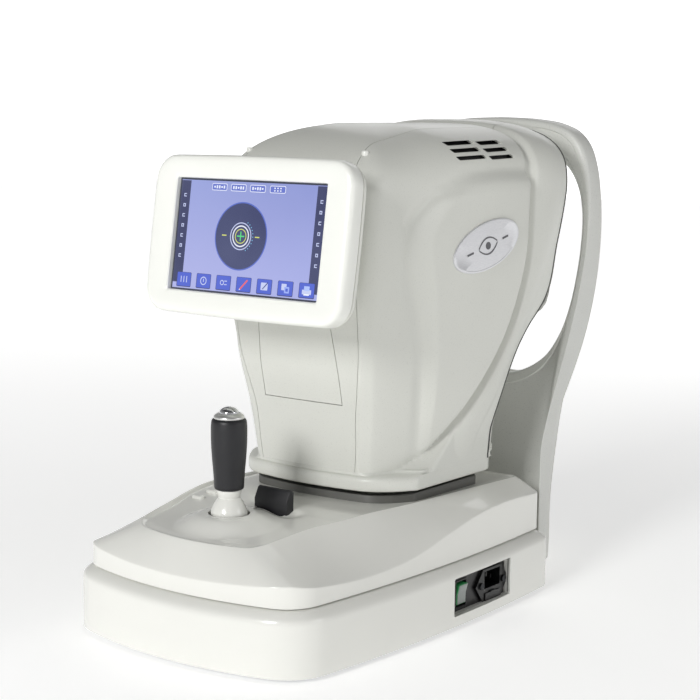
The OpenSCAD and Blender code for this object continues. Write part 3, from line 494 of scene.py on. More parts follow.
def rim_half():
    """The deck's rim: bowed in front, a round corner, then out and up along the side."""
    x = np.arange(STAGE_COUNTS[0]) / STAGE_COUNTS[0] * 50
    y = 48 + np.arange(STAGE_COUNTS[2]) / STAGE_COUNTS[2] * 307
    side = np.stack([through([30, 60, 90, 120, 150, 185, 280, 363],
                             [62.5, 68, 73.5, 82, 87.5, 90, 91, 95], y), y,
                     through([30, 60, 90, 120, 150, 185, 280, 363],
                             [89.4, 94, 97.6, 99.5, 101, 100, 97.5, 96.3], y)], 1)
    rear = side[-1] + [0, 6, 0]
    return np.concatenate([
        np.stack([x, 27 + 8 * (x / 50) ** 2, np.full(len(x), 89.0)], 1),
        conic([50, 35, 89.0], [60, 37.6, 89.0], side[0], STAGE_COUNTS[1]), side,
        conic(side[-1], rear, rear - [6, 0, 0], STAGE_COUNTS[3]),
        line(rear - [6, 0, 0], [0, rear[1], 96.3], STAGE_COUNTS[4]), [[0, rear[1], 96.3]]])


def floor_z(x, y):
    """The deck's floor: it climbs to the rear, with the joystick's bell-shaped mound."""
    level = np.where(y < 120, 85.6 + 0.092 * y, through([119, 150, 200, 363], [96.6, 97.6, 96.6, 95], y))
    mound = ease((MOUND_R - np.hypot(x, y - JOY_Y)) / (MOUND_R - MOUND_RING_R))
    pocket = np.exp(-(((x - 24) / 15) ** 2 + ((y - 118) / 9) ** 2) ** 1.5)
    return level + (MOUND_TOP - level) * mound - 3.0 * pocket


wall_ring = plan_ring(STAGE_IN, 6, STAGE_COUNTS)
ridge = at_height(wall_ring, wall_top(wall_ring[:, 0], wall_ring[:, 1]))
rim = both_sides(rim_half())
centre = rim * [0, 1, 0]
centre[:, 1] = np.clip(rim[:, 1], JOY_Y, 310)
inward = centre - rim * [1, 1, 0]
inward /= np.linalg.norm(inward, axis=1)[:, None]
slope = (rim - ridge) / np.linalg.norm(rim - ridge, axis=1)[:, None]
swell = np.array([0, 0, 1.0])
rows = [at_height(wall_ring, STAGE_LOW), at_height(wall_ring, STAGE_LOW + 5),
        ridge - swell * 5, ridge - swell * 1.0]
rows += [(1 - t) ** 2 * (ridge - swell * 1.0) + 2 * t * (1 - t) * ridge + t * t * (ridge + slope * 1.2)
         for t in (0.25, 0.5, 0.75, 1)]
for t in (0.08, 0.2, 0.35, 0.5, 0.65, 0.8, 0.9):
    rows.append(ridge + (rim - ridge) * t + swell * 1.6 * t * (1 - t))
dish = rim + inward * 3.2
dish[:, 2] = np.minimum(floor_z(dish[:, 0], dish[:, 1]), rim[:, 2] - 0.9)
before = rim - slope * 1.1
after = rim + (dish - rim) * 0.35
rows += [(1 - t) ** 2 * before + 2 * t * (1 - t) * rim + t * t * after for t in np.arange(0, 1.01, 0.2)]
rows.append(dish)
for t in np.arange(1, 37) / 36:
    ring = dish + (centre - dish) * t
    ring[:, 2] = dish[:, 2] * (1 - ease(t * 9)) + floor_z(ring[:, 0], ring[:, 1]) * ease(t * 9)
    rows.append(ring)
stage_shell = build("stage_shell", [(np.stack(rows), True, False)], 2.6, facing=(0, 0, 1))


def disc(radius, centre_at=(0, 0), count=64):
    """Outline of a circle."""
    a = np.arange(count) * 2 * np.pi / count
    return np.stack([np.cos(a), np.sin(a)], 1) * radius + centre_at


lever_low, lever_high = drawn("lock_lever")
lever_mid = (lever_low + lever_high) / 2
tools = [prism(disc(HOLE_R, (0, JOY_Y)), 80, 130)]
tools.append(prism(rounded(29, 17, 2.0, (lever_mid[0], 124)), 80, 130))
for name in ("chin_up_button", "chin_down_button"):
    low, high = drawn(name)
    tools.append(prism(rounded(13, 7, 3.4, ((low + high) / 2)[:2]), 80, 130))
carve(stage_shell, tools)
own(stage_shell, "stage", gloss_white, "cream_plastic", "stage_cover")


# ---------------------------------------------------------------- Turret collar
# A dark plastic collar that stands on the stage, under the lip of the head's skirt. The skirt
# hangs over it and rides up and down with the head.
def lip_ring(inset):
    """The lip's outline: a gently bowed front, long soft corners and straight sides."""
    f, w, b = 172 + inset, 91.5 - inset, 325 - inset
    x = np.arange(14) / 14 * 54
    return both_sides(np.concatenate([
        np.stack([x, f + 5.2 * (x / 54) ** 2], 1),
        conic([54, f + 5.2], [74 - inset * 0.6, f + 9], [w - 1.2, f + 38], 20),
        line([w - 1.2, f + 38], [w - 1.2, b - 12], 40),
        conic([w - 1.2, b - 12], [w - 1.2, b], [w - 13, b], 10), line([w - 13, b], [0, b], 10), [[0, b]]]))


LIP_LOW, LIP_HIGH = drawn("head_skirt")[0][2], drawn("head_skirt")[1][2]
COLLAR_FOOT, COLLAR_TOP = 84.0, LIP_LOW - 4.8
dark_band = moulded("dark_collar_plastic", tint(96, 96, 92), 0.5, 1.4, 0.02, 0.1)
collar_rows = [at_height(lip_ring(inset), z) for inset, z in (
    (8, COLLAR_FOOT), (8, COLLAR_TOP - 1), (8.6, COLLAR_TOP), (16, COLLAR_TOP), (16, COLLAR_FOOT))]
turret_collar = build("turret_collar", [(np.stack(collar_rows), True, True)])
own(turret_collar, "stage", dark_band, "dark_band", "turret")


# ---------------------------------------------------------------- Head covers
# Thin mouldings over the optics: front with its paper door, left, right and rear, parted by fine
# seams, and screwed to the chassis. A dark strip along their rear edge is painted shade: it draws
# the shadow line at the head's rear silhouette. The sides carry a raised shield and a long groove
# behind it.
HEAD_Z = [121, 170, 213, 230, 251, 304, 350]
FRONT_Y = [177, 172, 163, 160, 156, 150, 150]
CREASE_X = [59, 65, 71, 73, 76, 80, 80]
CREASE_Y = [184, 179, 171, 169, 165, 158, 158]
REAR_X = [90, 96, 100, 102, 104, 105, 104]
REAR_Y = [326, 335, 353, 368, 397, 411, 426]
DOME_Z, DOME_TOP = 350.0, drawn("front_cover")[1][2]
HEAD_WALL = 2.6


def head_half(z):
    """Half an outline of the head at a height: bowed front, a flat chamfer up to the crease, a
    side that swells as the sine of its length, a small rear corner and a flat rear."""
    level = min(z, DOME_Z)
    front, crease_x, crease_y, rear_x, rear_y = (
        float(through(HEAD_Z, values, level))
        for values in (FRONT_Y, CREASE_X, CREASE_Y, REAR_X, REAR_Y))
    x = np.concatenate([np.linspace(0, crease_x - 8, 18), np.linspace(crease_x - 6.6, crease_x, 7)])
    ramp = np.clip((x - crease_x + 7) / 7, 0, 1)
    face = np.stack([x, front + 2 * (x / crease_x) ** 2 + (crease_y - front - 2) * ramp], 1)
    t = np.arange(1, 117) / 117
    side = np.stack([crease_x + (rear_x - crease_x) * np.sin(np.pi * t / 2) ** 0.8,
                     crease_y + (rear_y - 7 - crease_y) * t], 1)
    return np.concatenate([face, side, conic([rear_x, rear_y - 7], [rear_x, rear_y],
                                             [rear_x - 7, rear_y], 9),
                           line([rear_x - 7, rear_y], [0, rear_y], 14), [[0, rear_y]]])


def softened(ring, passes):
    """Averages each point of a closed ring with its neighbours, again and again."""
    for _ in range(passes):
        ring = (np.roll(ring, 1, 0) + 2 * ring + np.roll(ring, -1, 0)) / 4
    return ring


walls = [121.5, *np.arange(124, 350, 2.4).tolist()]
turns = np.linspace(0, np.pi / 2, 40)[:-1]
levels = [(z, 0.0) for z in walls] + [(DOME_Z, float(np.sin(a) ** (2 / 3))) for a in turns]
head_rows = []
for z, rise in levels:
    ring = both_sides(head_half(z))
    soft = softened(ring, 60)
    keep = ease((z + 40 * rise - 205) / 70)
    front_part = ease((300 - ring[:, 1]) / 40)[:, None]
    ring = ring + (soft - ring) * keep * front_part
    if z == DOME_Z:
        ahead = np.minimum(ring[:, 1] - 250, 0) * (1 - rise ** 2.1) ** (1 / 2.1)
        power = 2.2 + 0.8 * ease((ring[:, 1] - 170) / 100)
        ring = np.stack([ring[:, 0] * (1 - rise ** power) ** (1 / power),
                         np.maximum(ring[:, 1], 250) + ahead], 1)
    head_rows.append(at_height(ring, z + (DOME_TOP - 2.2 - DOME_Z) * rise))
ridge_line = head_rows[-1] * [0, 1, 0] + [0, 0, DOME_TOP - 2.2]
ridge_line[:, 1] = np.maximum(ridge_line[:, 1], 250)
head = np.stack([*head_rows, ridge_line])


def beside(points, course):
    """Signed distance in y and z from a course of points: positive on its right hand as it runs."""
    course = np.asarray(course, float)
    knots = np.arange(len(course))
    fine = np.linspace(0, len(course) - 1, 12 * len(course))
    course = np.stack([through(knots, course[:, 0], fine), through(knots, course[:, 1], fine)], 1)
    best = np.full(points.shape[:-1], 1e9)
    side = np.ones(points.shape[:-1])
    for a, b in zip(course[:-1], course[1:]):
        step = b - a
        t = np.clip((points - a) @ step / (step @ step), 0, 1)
        off = points - a - t[..., None] * step
        far = np.hypot(off[..., 0], off[..., 1])
        nearer = far < best
        best = np.where(nearer, far, best)
        side = np.where(nearer, np.sign(step[1] * off[..., 0] - step[0] * off[..., 1]), side)
    return best * side


# The three courses on the side, as y and z: the shield's edge, the groove and the rear rib's edge.
SHIELD = [(227, 90), (226.5, 121), (226, 147), (224, 181), (219, 226), (209.5, 258), (198, 287),
          (193, 307), (199, 328), (225, 349), (264, 363.5), (297, 367.5), (330, 368), (372, 366),
          (400, 364)]
GROOVE = [(364, 440), (362, 410), (361, 396), (358, 380), (354.5, 357), (352, 331), (347, 291),
          (331, 247), (309, 210), (279, 175), (256, 152), (236, 136), (216, 126), (190, 117)]
RIB = [(413, 440), (412, 400), (411, 372), (406, 334), (381, 283), (346, 221), (322, 180),
       (300, 150), (285, 121), (270, 90)]
across = head[:, :, 1:]
from_shield, from_groove, from_rib = (beside(across, course) for course in (SHIELD, GROOVE, RIB))
bevel_width = through([90, 150, 180, 248, 307, 331, 350, 420], [10, 10, 11, 16, 25, 19, 11.5, 11],
                      head[:, :, 2])
climb = from_shield / bevel_width
rising = 0.25 + 0.75 * ease((head[:, :, 2] - 120) / 70)
SHIELD_RISE, GROOVE_DEPTH, RIB_CROWN, REAR_FALL = 5.0, 4.6, 3.4, 0.16
plateau = SHIELD_RISE * (0.85 * np.clip(climb, 0, 1) + 0.15 * ease(climb)) * rising
plateau -= 1.5 * np.exp(-(np.abs(from_shield + 3) / 5.5) ** 2) * rising
relief = plateau * ease((from_groove + 1.6) / 3.4)
relief -= GROOVE_DEPTH * np.exp(-(np.abs(from_groove + 1.5) / 4.4) ** 2.4) * ease((head[:, :, 2] - 117) / 36)
band = np.clip(-from_groove / np.maximum(from_rib - from_groove, 1e-6), 0, 1)
inside_band = (from_groove < 0) & (from_rib > 0)
relief += np.where(inside_band, RIB_CROWN * np.sin(np.pi * band) ** 0.8, 0)
relief -= np.where(from_rib < 0, REAR_FALL * np.minimum(-from_rib, 30), 0)
on_side = (np.abs(head[:, :, 0]) > 20) | (head[:, :, 2] > 380)
on_side |= head[:, :, 1] > 320
on_side &= head[:, :, 1] > 190
relief *= on_side
along_row = np.roll(head, -1, 1) - np.roll(head, 1, 1)
up_row = np.gradient(head, axis=0)
outward = np.cross(along_row, up_row)
outward /= np.maximum(np.linalg.norm(outward, axis=2), 1e-9)[:, :, None]
outward[-1] = [0, 0, 1]
if outward[40, 60, 0] < 0:
    outward = -outward
outward[-1] = [0, 0, 1]
head = head + outward * relief[:, :, None]
# Behind and below the groove the side runs flush into the skirt's lip, and 3 mm down inside it.
wide, deep = np.abs(head[:, :, 0]), head[:, :, 1]
lip_side = lip_ring(0)[14:74]
lip_x = np.interp(deep, lip_side[:, 1], lip_side[:, 0]) - 0.12
corner = np.arange(head.shape[1])
corner = np.minimum(corner, head.shape[1] - corner) > 140
reference = np.where(corner[None, :], wide[:, 140:141], np.maximum(wide, 1))
growth = np.maximum(np.where(corner[None, :], 90.18, lip_x) / reference, 1) - 1
behind = ease(-from_groove / 8) * (deep > 186) * (wide > 20)
head[:, :, 0] *= 1 + growth * behind * ease((200 - head[:, :, 2]) / 76)
head[:, :, 2] -= 3.0 * behind * np.clip((150 - head[:, :, 2]) / 28.5, 0, 1)
head[-1, :, 0] = 0
head[-1, :, 2] = (head[-2, :, 2] + head[-2][::-1][:, 2]) / 2 + 0.02
cover_white = moulded("cover_white_plastic", tint(219, 220, 213), 0.36, 1.5, 0.022, 0.16, 0.15)
head_shell = build("head_shell", [(head, True, False)], HEAD_WALL, facing=(0, 0, 1))


def copy_of(item, name):
    """The same piece once more, with a mesh of its own."""
    twin = item.copy()
    twin.data = item.data.copy()
    twin.name = name
    bpy.context.scene.collection.objects.link(twin)
    return twin


SEAM_Z = [100, 121, 140, 170, 190, 205, 215, 300, 376, 396, 430]
SEAM_X = [46, 49, 51, 53, 57, 60, 62, 64, 60, 56.5, 56]
seam_z = np.linspace(100, 430, 60)
seam_x = through(SEAM_Z, SEAM_X, seam_z)
# The third width is that of the dark strip of painted shade along the covers' rear edge.
SEAM, REAR_CUT, SHADE_STRIP_W = 0.45, 4.4, 1.8


def front_region(grow):
    """Prism over everything between the two front seams, as x and z, grown by half the gap."""
    right = np.stack([seam_x + grow, seam_z], 1)
    return prism(np.concatenate([right, right[::-1] * [-1, 1]]), 100, 460, 1)


def rear_face(z):
    """How far back the head's own rear face stands at a height."""
    middle = head[:len(walls) + 1, head.shape[1] // 2]
    return np.interp(z, middle[:, 2], middle[:, 1])


def rear_region(cut, low=100, high=440, far=470):
    """Prism over everything behind the line that runs a little in front of the head's rear edge."""
    z = np.concatenate([[low - 10], np.linspace(119, 352, 70), [high]])
    return prism(np.concatenate([np.stack([rear_face(z) - cut, z], 1), [[far, high], [far, low - 10]]]),
                 -130, 130, 0)


def door_outline(grow):
    """The paper door's outline as x and z: straight below, its sides a little closer above."""
    low, high = drawn("printer_door")
    z = np.linspace(low[2] - grow, 252 + grow, 16)
    x = 41 - 3.5 * ease((z - 200) / 60) + grow
    right = np.stack([x, z], 1)
    return np.concatenate([right, right[::-1] * [-1, 1]])


inner_shell = build("inner_shell", [(head - outward * 0.3, True, False)], HEAD_WALL, facing=(0, 0, 1))
# Painted shade: a dark strip just outside the covers along their rear edge draws the shadow line at the
# head's rear silhouette.
shade_strip = build("rear_shade_strip", [(head + outward * 0.35, True, False)], HEAD_WALL, facing=(0, 0, 1))
carve(shade_strip, [rear_region(REAR_CUT + SHADE_STRIP_W)], "INTERSECT")
carve(shade_strip, [rear_region(REAR_CUT)])
rear_shell = carve(inner_shell, [rear_region(REAR_CUT - 0.05)], "INTERSECT")
rear_shell.name = "rear_shell"
WINDOW_Z, WINDOW_R = drawn("lamp_ring")[0][2] / 2 + drawn("lamp_ring")[1][2] / 2, 34.0
carve(rear_shell, [prism(disc(WINDOW_R, (0, WINDOW_Z), 96), 340, 470, 1)])
carve(head_shell, [rear_region(REAR_CUT + SHADE_STRIP_W + 0.05)])
front_shell = carve(copy_of(head_shell, "front_shell"), [front_region(-SEAM / 2)], "INTERSECT")
carve(head_shell, [front_region(SEAM / 2)])
RIGHT_HALF = [(0, 90), (140, 90), (140, 440), (0, 440)]
right_shell = carve(copy_of(head_shell, "right_shell"), [prism(RIGHT_HALF, 100, 470, 1)], "INTERSECT")
left_shell = carve(head_shell, [prism(RIGHT_HALF, 100, 470, 1)])
left_shell.name = "left_shell"
DOOR_GAP = 0.3
door_shell = carve(copy_of(front_shell, "door_shell"), [prism(door_outline(-DOOR_GAP), 100, 200, 1)],
                   "INTERSECT")
carve(front_shell, [prism(door_outline(DOOR_GAP), 100, 200, 1)])
own(front_shell, "head", cover_white, "cream_plastic", "front_cover")
own(door_shell, "door", cover_white, "cream_plastic", "printer_door")
own(right_shell, "head", cover_white, "cream_plastic", "right_cover")
own(left_shell, "head", cover_white, "cream_plastic", "left_cover")
own(rear_shell, "head", cover_white, "cream_plastic", "rear_cover")
# The dark colour of that strip is painted shade, not a rubber part.
painted_shade_dark = moulded("painted_shade_dark", tint(58, 59, 57), 0.6, 0.8, 0.02)
own(shade_strip, "head", painted_shade_dark, "black_rubber")

# The measuring window's bezel: a turned ring that tapers in towards the objective.
window_y = float(rear_face(WINDOW_Z)) - 0.8
bezel_turn = np.arange(96) * 2 * np.pi / 96
window_rings = []
for radius, y in ((34.6, window_y + 0.4), (35.6, window_y + 1.0), (35.9, window_y + 1.8),
                  (35.2, window_y + 2.5), (34.2, window_y + 2.4), (33.6, window_y + 1.0),
                  (33.0, window_y - 3), (32.6, window_y - 9.5), (33.6, window_y - 9.5),
                  (34.2, window_y - 3)):
    window_rings.append(np.stack([radius * np.cos(bezel_turn), np.full(96, y),
                                  WINDOW_Z + radius * np.sin(bezel_turn)], 1))
window_bezel = build("window_bezel", [(np.stack(window_rings), True, True)])
own(window_bezel, "head", dark_band, "dark_band")

# ---------------------------------------------------------------- Head skirt
# The lip under the covers, a moulding of its own that is screwed to the head's frame. Its rounded
# edge runs in to a small fillet at the covers' foot, and under the rear of the sides it is flush.
foot = head[0, :, :2]
lip = lip_ring(0)
turn = np.arctan2(lip[:, 0], 255 - lip[:, 1])
foot_turn = np.arctan2(foot[:, 0], 255 - foot[:, 1])
under = ease((lip[:, 1] - 204) / 14)[:, None]


def lip_at(inset, z):
    """The lip's outline drawn in by an inset, which fades out where the side runs flush."""
    drawn_in = at_height(lip_ring(inset), z)
    flush = at_height(lip_ring(0), z)
    return drawn_in + (flush - drawn_in) * under


def foot_at(grow, z):
    """The head's foot outline, grown outwards, sampled at the lip's own bearings."""
    order = np.argsort(foot_turn)
    reach = np.hypot(foot[:, 0], foot[:, 1] - 255)[order]
    far = np.interp(turn, foot_turn[order], reach, period=2 * np.pi) + grow
    far = np.minimum(far, np.hypot(lip[:, 0], lip[:, 1] - 255) - 2.2)
    return np.stack([np.sin(turn) * far, 255 - np.cos(turn) * far, np.full(len(lip), z)], 1)


skirt_rows = [at_height(lip_ring(inset), z) for inset, z in (
    (7, LIP_LOW + 3), (7, LIP_LOW), (1.2, LIP_LOW), (0.4, LIP_LOW + 0.6), (0, LIP_LOW + 1.6),
    (0, LIP_LOW + 5), (0, LIP_HIGH - 4.6))]
skirt_rows += [lip_at(0.5, LIP_HIGH - 3.0), lip_at(1.6, LIP_HIGH - 1.7), lip_at(3.4, LIP_HIGH - 0.8),
               foot_at(4.2, LIP_HIGH - 0.3), foot_at(2.6, LIP_HIGH + 0.1), foot_at(1.3, LIP_HIGH + 0.9),
               foot_at(0.5, LIP_HIGH + 2.2), foot_at(-3.0, LIP_HIGH + 2.2), foot_at(-6, LIP_HIGH - 1),
               foot_at(-6, LIP_LOW + 3)]
skirt_shell = build("skirt_shell", [(np.stack(skirt_rows), True, True)], 0, 40)
own(skirt_shell, "head", cover_white, "cream_plastic", "head_skirt")


# ---------------------------------------------------------------- Vents, badges and cover screws
# Six slots in two columns let the fan's air out, over a black grille. An oval silver badge with
# an aperture mark is glued to each side, and four small screws hold the covers.
def on_head(y, z, side=1):
    """The nearest point and outward direction of the head's surface for a y and a z."""
    half = head[:, :head.shape[1] // 2]
    off = (half[:, :, 1] - y) ** 2 + (half[:, :, 2] - z) ** 2 + (half[:, :, 0] < 30) * 1e6
    i, j = np.unravel_index(np.argmin(off), off.shape)
    return half[i, j] * [side, 1, 1], outward[i, j] * [side, 1, 1]


VENT_ROWS = [(391.5, 0.0), (385.6, 2.0), (379.4, 5.0)]
VENT_COLUMNS = [(254.8, 293.0), (298.4, 332.0)]
for shell, side in ((right_shell, 1), (left_shell, -1)):
    tools = []
    for z, shift in VENT_ROWS:
        for y0, y1 in VENT_COLUMNS:
            outline = rounded(y1 - y0, 3.3, 1.0, ((y0 + y1) / 2 + shift, z))
            outline[:, 0] += (outline[:, 1] - z) * -1.2
            outline[:, 1] += (outline[:, 0] - y0) * 0.03
            tools.append(prism(outline, 60 * side, 125 * side, 0))
    carve(shell, tools)
black_moulding = moulded("black_moulded_plastic", tint(24, 24, 25), 0.42, 1.2, 0.02, 0.0)
grille_rows = []
for z in np.linspace(370, 400, 9):
    place = [on_head(y, z)[0] - on_head(y, z)[1] * 4.6 for y in np.linspace(244, 345, 12)]
    grille_rows.append(np.stack(place))
for side, name in ((1, "right_grille"), (-1, "left_grille")):
    grille = build(name, [(np.stack(grille_rows) * [side, 1, 1], False, False)], 0.8, facing=(side, 0, 0))
    own(grille, "head", black_moulding, "black_plastic", "vent_grilles")

BADGE_Y, BADGE_Z, BADGE_A, BADGE_B, BADGE_TILT = 285.5, 307.0, 44.5, 19.8, math.radians(15)


def badge_finish(tree, place):
    """Silver with brushed hairlines along the row's y axis."""
    stretched = add(tree, "ShaderNodeMapping", {}, {"Vector": place, "Scale": (1, 0.06, 1)})
    hair = noise(tree, stretched, 2600, 2.0)
    return {"Base Color": blend(tree, hair, tint(208, 209, 213), tint(236, 236, 238)),
            "Roughness": 0.30 + hair * 0.12, "Normal": bump(tree, hair, 0.01 * MM)}


silver_film = finish("silver_badge_film", {"Metallic": 0.55}, badge_finish)
dark_print = moulded("dark_badge_print", tint(92, 92, 96), 0.35, 1.2, 0.004)


def badge_ring(a, b, lift, side, count=96):
    """Points of the tilted ellipse, laid on the cover and lifted along its outward direction."""
    t = np.arange(count) * 2 * np.pi / count
    y = BADGE_Y + a * np.cos(t) * math.cos(BADGE_TILT) - b * np.sin(t) * math.sin(BADGE_TILT)
    z = BADGE_Z + a * np.cos(t) * math.sin(BADGE_TILT) + b * np.sin(t) * math.cos(BADGE_TILT)
    surface = badge_x(y, z) + lift
    return np.stack([surface * side, y, z], 1)


def badge_x(y, z):
    """A plane fitted to the cover round the badge, and bent as the cover is: x from y and z."""
    return (on_head(BADGE_Y, BADGE_Z)[0][0] + badge_slope[0] * (y - BADGE_Y)
            + badge_slope[1] * (z - BADGE_Z) + badge_slope[2] * (y - BADGE_Y) ** 2)


fit_y, fit_z = np.meshgrid(np.linspace(244, 326, 9), np.linspace(290, 325, 5))
fit_x = np.array([on_head(y, z)[0][0] for y, z in zip(fit_y.ravel(), fit_z.ravel())])
terms = np.stack([fit_y.ravel() - BADGE_Y, fit_z.ravel() - BADGE_Z, (fit_y.ravel() - BADGE_Y) ** 2,
                  np.ones(fit_x.size)], 1)
badge_slope = np.linalg.lstsq(terms, fit_x, rcond=None)[0]
for side, name in ((1, "right_badge"), (-1, "left_badge")):
    scales = [(1, -1.2), (1, 0.9), (0.985, 1.35), (0.93, 1.45), (0.915, 1.2), (0.6, 1.3), (0.3, 1.35),
              (0.0005, 1.35)]
    rings = [badge_ring(BADGE_A * s, BADGE_B * s, lift, side) for s, lift in scales]
    badge = build(name, [(np.stack(rings), True, False)], 0, 30, (side, 0, 0))
    own(badge, "head", silver_film, "silver_badge", "badges")
    # A generic mark: an eye's outline of two shallow arcs round a dot, between two short dashes.
    marks = []
    swing = np.linspace(-1, 1, 41)
    dot = np.radians(np.linspace(0, 360, 41))
    lid = 6.2 * (1 - swing ** 2)
    lids = [(12.5 * swing, sign * lid, 12.5 * swing, sign * (lid + 1.3)) for sign in (1, -1)]
    dots = [(0.02 * np.cos(dot), 0.02 * np.sin(dot), 3.2 * np.cos(dot), 3.2 * np.sin(dot))]
    dashes = [(place_of + 4 * swing, -0.8 + 0 * swing, place_of + 4 * swing, 0.8 + 0 * swing)
              for place_of in (-24, 24)]
    for u0, v0, u1, v1 in lids + dots + dashes:
        arc = []
        for u, v in ((u0, v0), (u1, v1)):
            y = BADGE_Y + u * math.cos(BADGE_TILT) - v * math.sin(BADGE_TILT)
            z = BADGE_Z + u * math.sin(BADGE_TILT) + v * math.cos(BADGE_TILT)
            arc.append((y, z))
        strip = [np.stack([(badge_x(y, z) + lift) * side, y, z], 1)
                 for (y, z), lift in ((arc[0], 1.2), (arc[0], 1.62), (arc[1], 1.62), (arc[1], 1.2))]
        marks.append((np.stack(strip), False, True))
    mark = build(name + "_mark", marks, 0, 30, (side, 0, 0))
    own(mark, "head", dark_print, "dark_band")


# ---------------------------------------------------------------- Monitor
# A tilting display: a pillowed front bezel with bowed edges, a rear shell joined along a groove,
# and a glossy screen set in a thin black rim.
def superloop(half_w, half_h, radius, bow, count=24):
    """Rounded rectangle whose edges bow out: straight runs become shallow arcs. Starts at the
    right edge's middle and runs anticlockwise."""
    def quarter():
        """From the right edge's middle round the corner to the top edge's middle."""
        y = np.linspace(0, half_h - radius, count, endpoint=False)
        edge = np.stack([np.full(count, half_w), y], 1)
        a = np.radians(np.linspace(0, 90, 16, endpoint=False))
        arc = np.stack([half_w - radius + radius * np.cos(a), half_h - radius + radius * np.sin(a)], 1)
        x = np.linspace(half_w - radius, 0, count, endpoint=False)
        top = np.stack([x, np.full(count, half_h)], 1)
        return np.concatenate([edge, arc, top])
    q = quarter()
    loop = np.concatenate([q, (q[::-1] * [-1, 1])[:-1], [[-half_w, 0]], (q * [-1, -1])[1:],
                           [[0, -half_h]], (q[::-1] * [1, -1])[:-1]])
    out = loop.copy()
    u, v = loop[:, 0] / half_w, loop[:, 1] / half_h
    out[:, 0] += np.sign(u) * bow * (1 - v ** 2) * u ** 2
    out[:, 1] += np.sign(v) * bow * (1 - u ** 2) * v ** 2
    keep_first = np.concatenate([[True], np.linalg.norm(np.diff(out, axis=0), axis=1) > 1e-6])
    return out[keep_first]


TILT = math.radians(8.5)
MONITOR_AT = np.array([0, 99.1, 318.0])


def on_monitor(points):
    """From the screen's plane (right, up, towards the user) into this file's millimetres."""
    points = np.asarray(points, float)
    up = np.array([0, math.sin(TILT), math.cos(TILT)])
    front = np.array([0, -math.cos(TILT), math.sin(TILT)])
    return (MONITOR_AT + points[..., :1] * [1, 0, 0] + points[..., 1:2] * up + points[..., 2:] * front)


def monitor_loops(steps):
    """Loops of the monitor's outline: each step is (inset, depth, corner radius, bow)."""
    loops = []
    for inset, depth, radius, bow in steps:
        loops.append(np.insert(superloop(101.2 - inset, 63.7 - inset, radius, bow), 2, depth, 1))
    return loops


LCD_W, LCD_H = 77.2, 45.4
bezel_steps = [(1.6, -11.4, 18, 1.3), (0.5, -11.0, 19, 1.3), (0, -10.0, 19, 1.3), (0, -4, 19, 1.3),
               (0.1, -0.6, 19, 1.3), (0.5, 1.3, 18.6, 1.2), (1.4, 2.6, 18, 1.1), (2.9, 3.4, 17, 0.9),
               (5.2, 3.8, 15, 0.8), (9, 4.0, 13, 0.6)]
bezel_loops = monitor_loops(bezel_steps)
inner = []
for grow, depth, radius in ((3.4, 3.6, 3.0), (1.2, 3.3, 2.0), (0.2, 2.4, 1.4), (0, 0.2, 1.2),
                            (0, -1.6, 1.2)):
    inner.append(np.insert(superloop(LCD_W + grow, LCD_H + grow, radius, 0.05), 2, depth, 1))
inner += [np.insert(superloop(LCD_W + 6, LCD_H + 6, 3, 0.05), 2, -1.6, 1),
          np.insert(superloop(94, 56.5, 16, 0.8), 2, -11.4, 1)]
bezel_grid = on_monitor(np.stack(bezel_loops + inner))
monitor_white = moulded("monitor_white_plastic", tint(243, 244, 238), 0.32, 2.4, 0.008, 0.0, 0.3)
bezel = build("bezel_frame", [(bezel_grid, True, True)], 0, 34)
own(bezel, "monitor", monitor_white, "cream_plastic", "monitor_bezel")
back_steps = [(1.8, -11.9, 18, 1.3), (0.7, -12.2, 19, 1.3), (0.5, -13.2, 19, 1.3), (1.4, -16.0, 19, 1.2),
              (3.6, -19.5, 21, 1.0), (7.5, -22.6, 19, 0.8), (13, -24.4, 16, 0.5), (22, -25.6, 12, 0.2),
              (36, -27.6, 10, 0.1), (44, -28.6, 8, 0.1)]
back_loops = monitor_loops(back_steps)
back_loops.append(back_loops[-1] * [1, 0, 1])
pale_white = moulded("rear_shell_plastic", tint(232, 233, 226), 0.42, 1.6, 0.02, 0.05, 0.1)
monitor_shell = build("monitor_shell", [(on_monitor(np.stack(back_loops)), True, False)], 2.0, 34, (0, 1, 0))
own(monitor_shell, "monitor", pale_white, "pale_plastic", "monitor_back")
groove_loops = monitor_loops([(2.2, -10.6, 20, 1.2), (2.2, -12.8, 20, 1.2)])
monitor_groove = build("monitor_groove", [(on_monitor(np.stack(groove_loops)), True, False)], 0.6)
own(monitor_groove, "monitor", black_moulding, "black_plastic")

# The screen's picture: a dark measuring disc with rings, a cross and dashes, columns of plain
# marks, small boxes above and a row of tiles below. Each patch has its colour as an attribute.
patches = []


def patch(outline, colour, layer, colours=None):
    """A flat patch of the picture from an outline in the screen's plane; layer lifts it."""
    patches.append((np.asarray(outline, float), colour, layer, colours))


def box_patch(x, y, w, h, colour, layer, radius=0.0):
    """A box of the picture round a middle point, with round corners."""
    patch(rounded(w, h, max(radius, 0.05), (x, y), 3), colour, layer)


def ring_patch(x, y, r_in, r_out, colour, layer, start=0, end=360, count=48):
    """An arc band: it goes round outside and comes back inside."""
    a = np.radians(np.linspace(start, end, count))
    unit = np.stack([np.cos(a), np.sin(a)], 1)
    for i in range(count - 1):
        patch([unit[i] * r_in + (x, y), unit[i] * r_out + (x, y), unit[i + 1] * r_out + (x, y),
               unit[i + 1] * r_in + (x, y)], colour, layer)


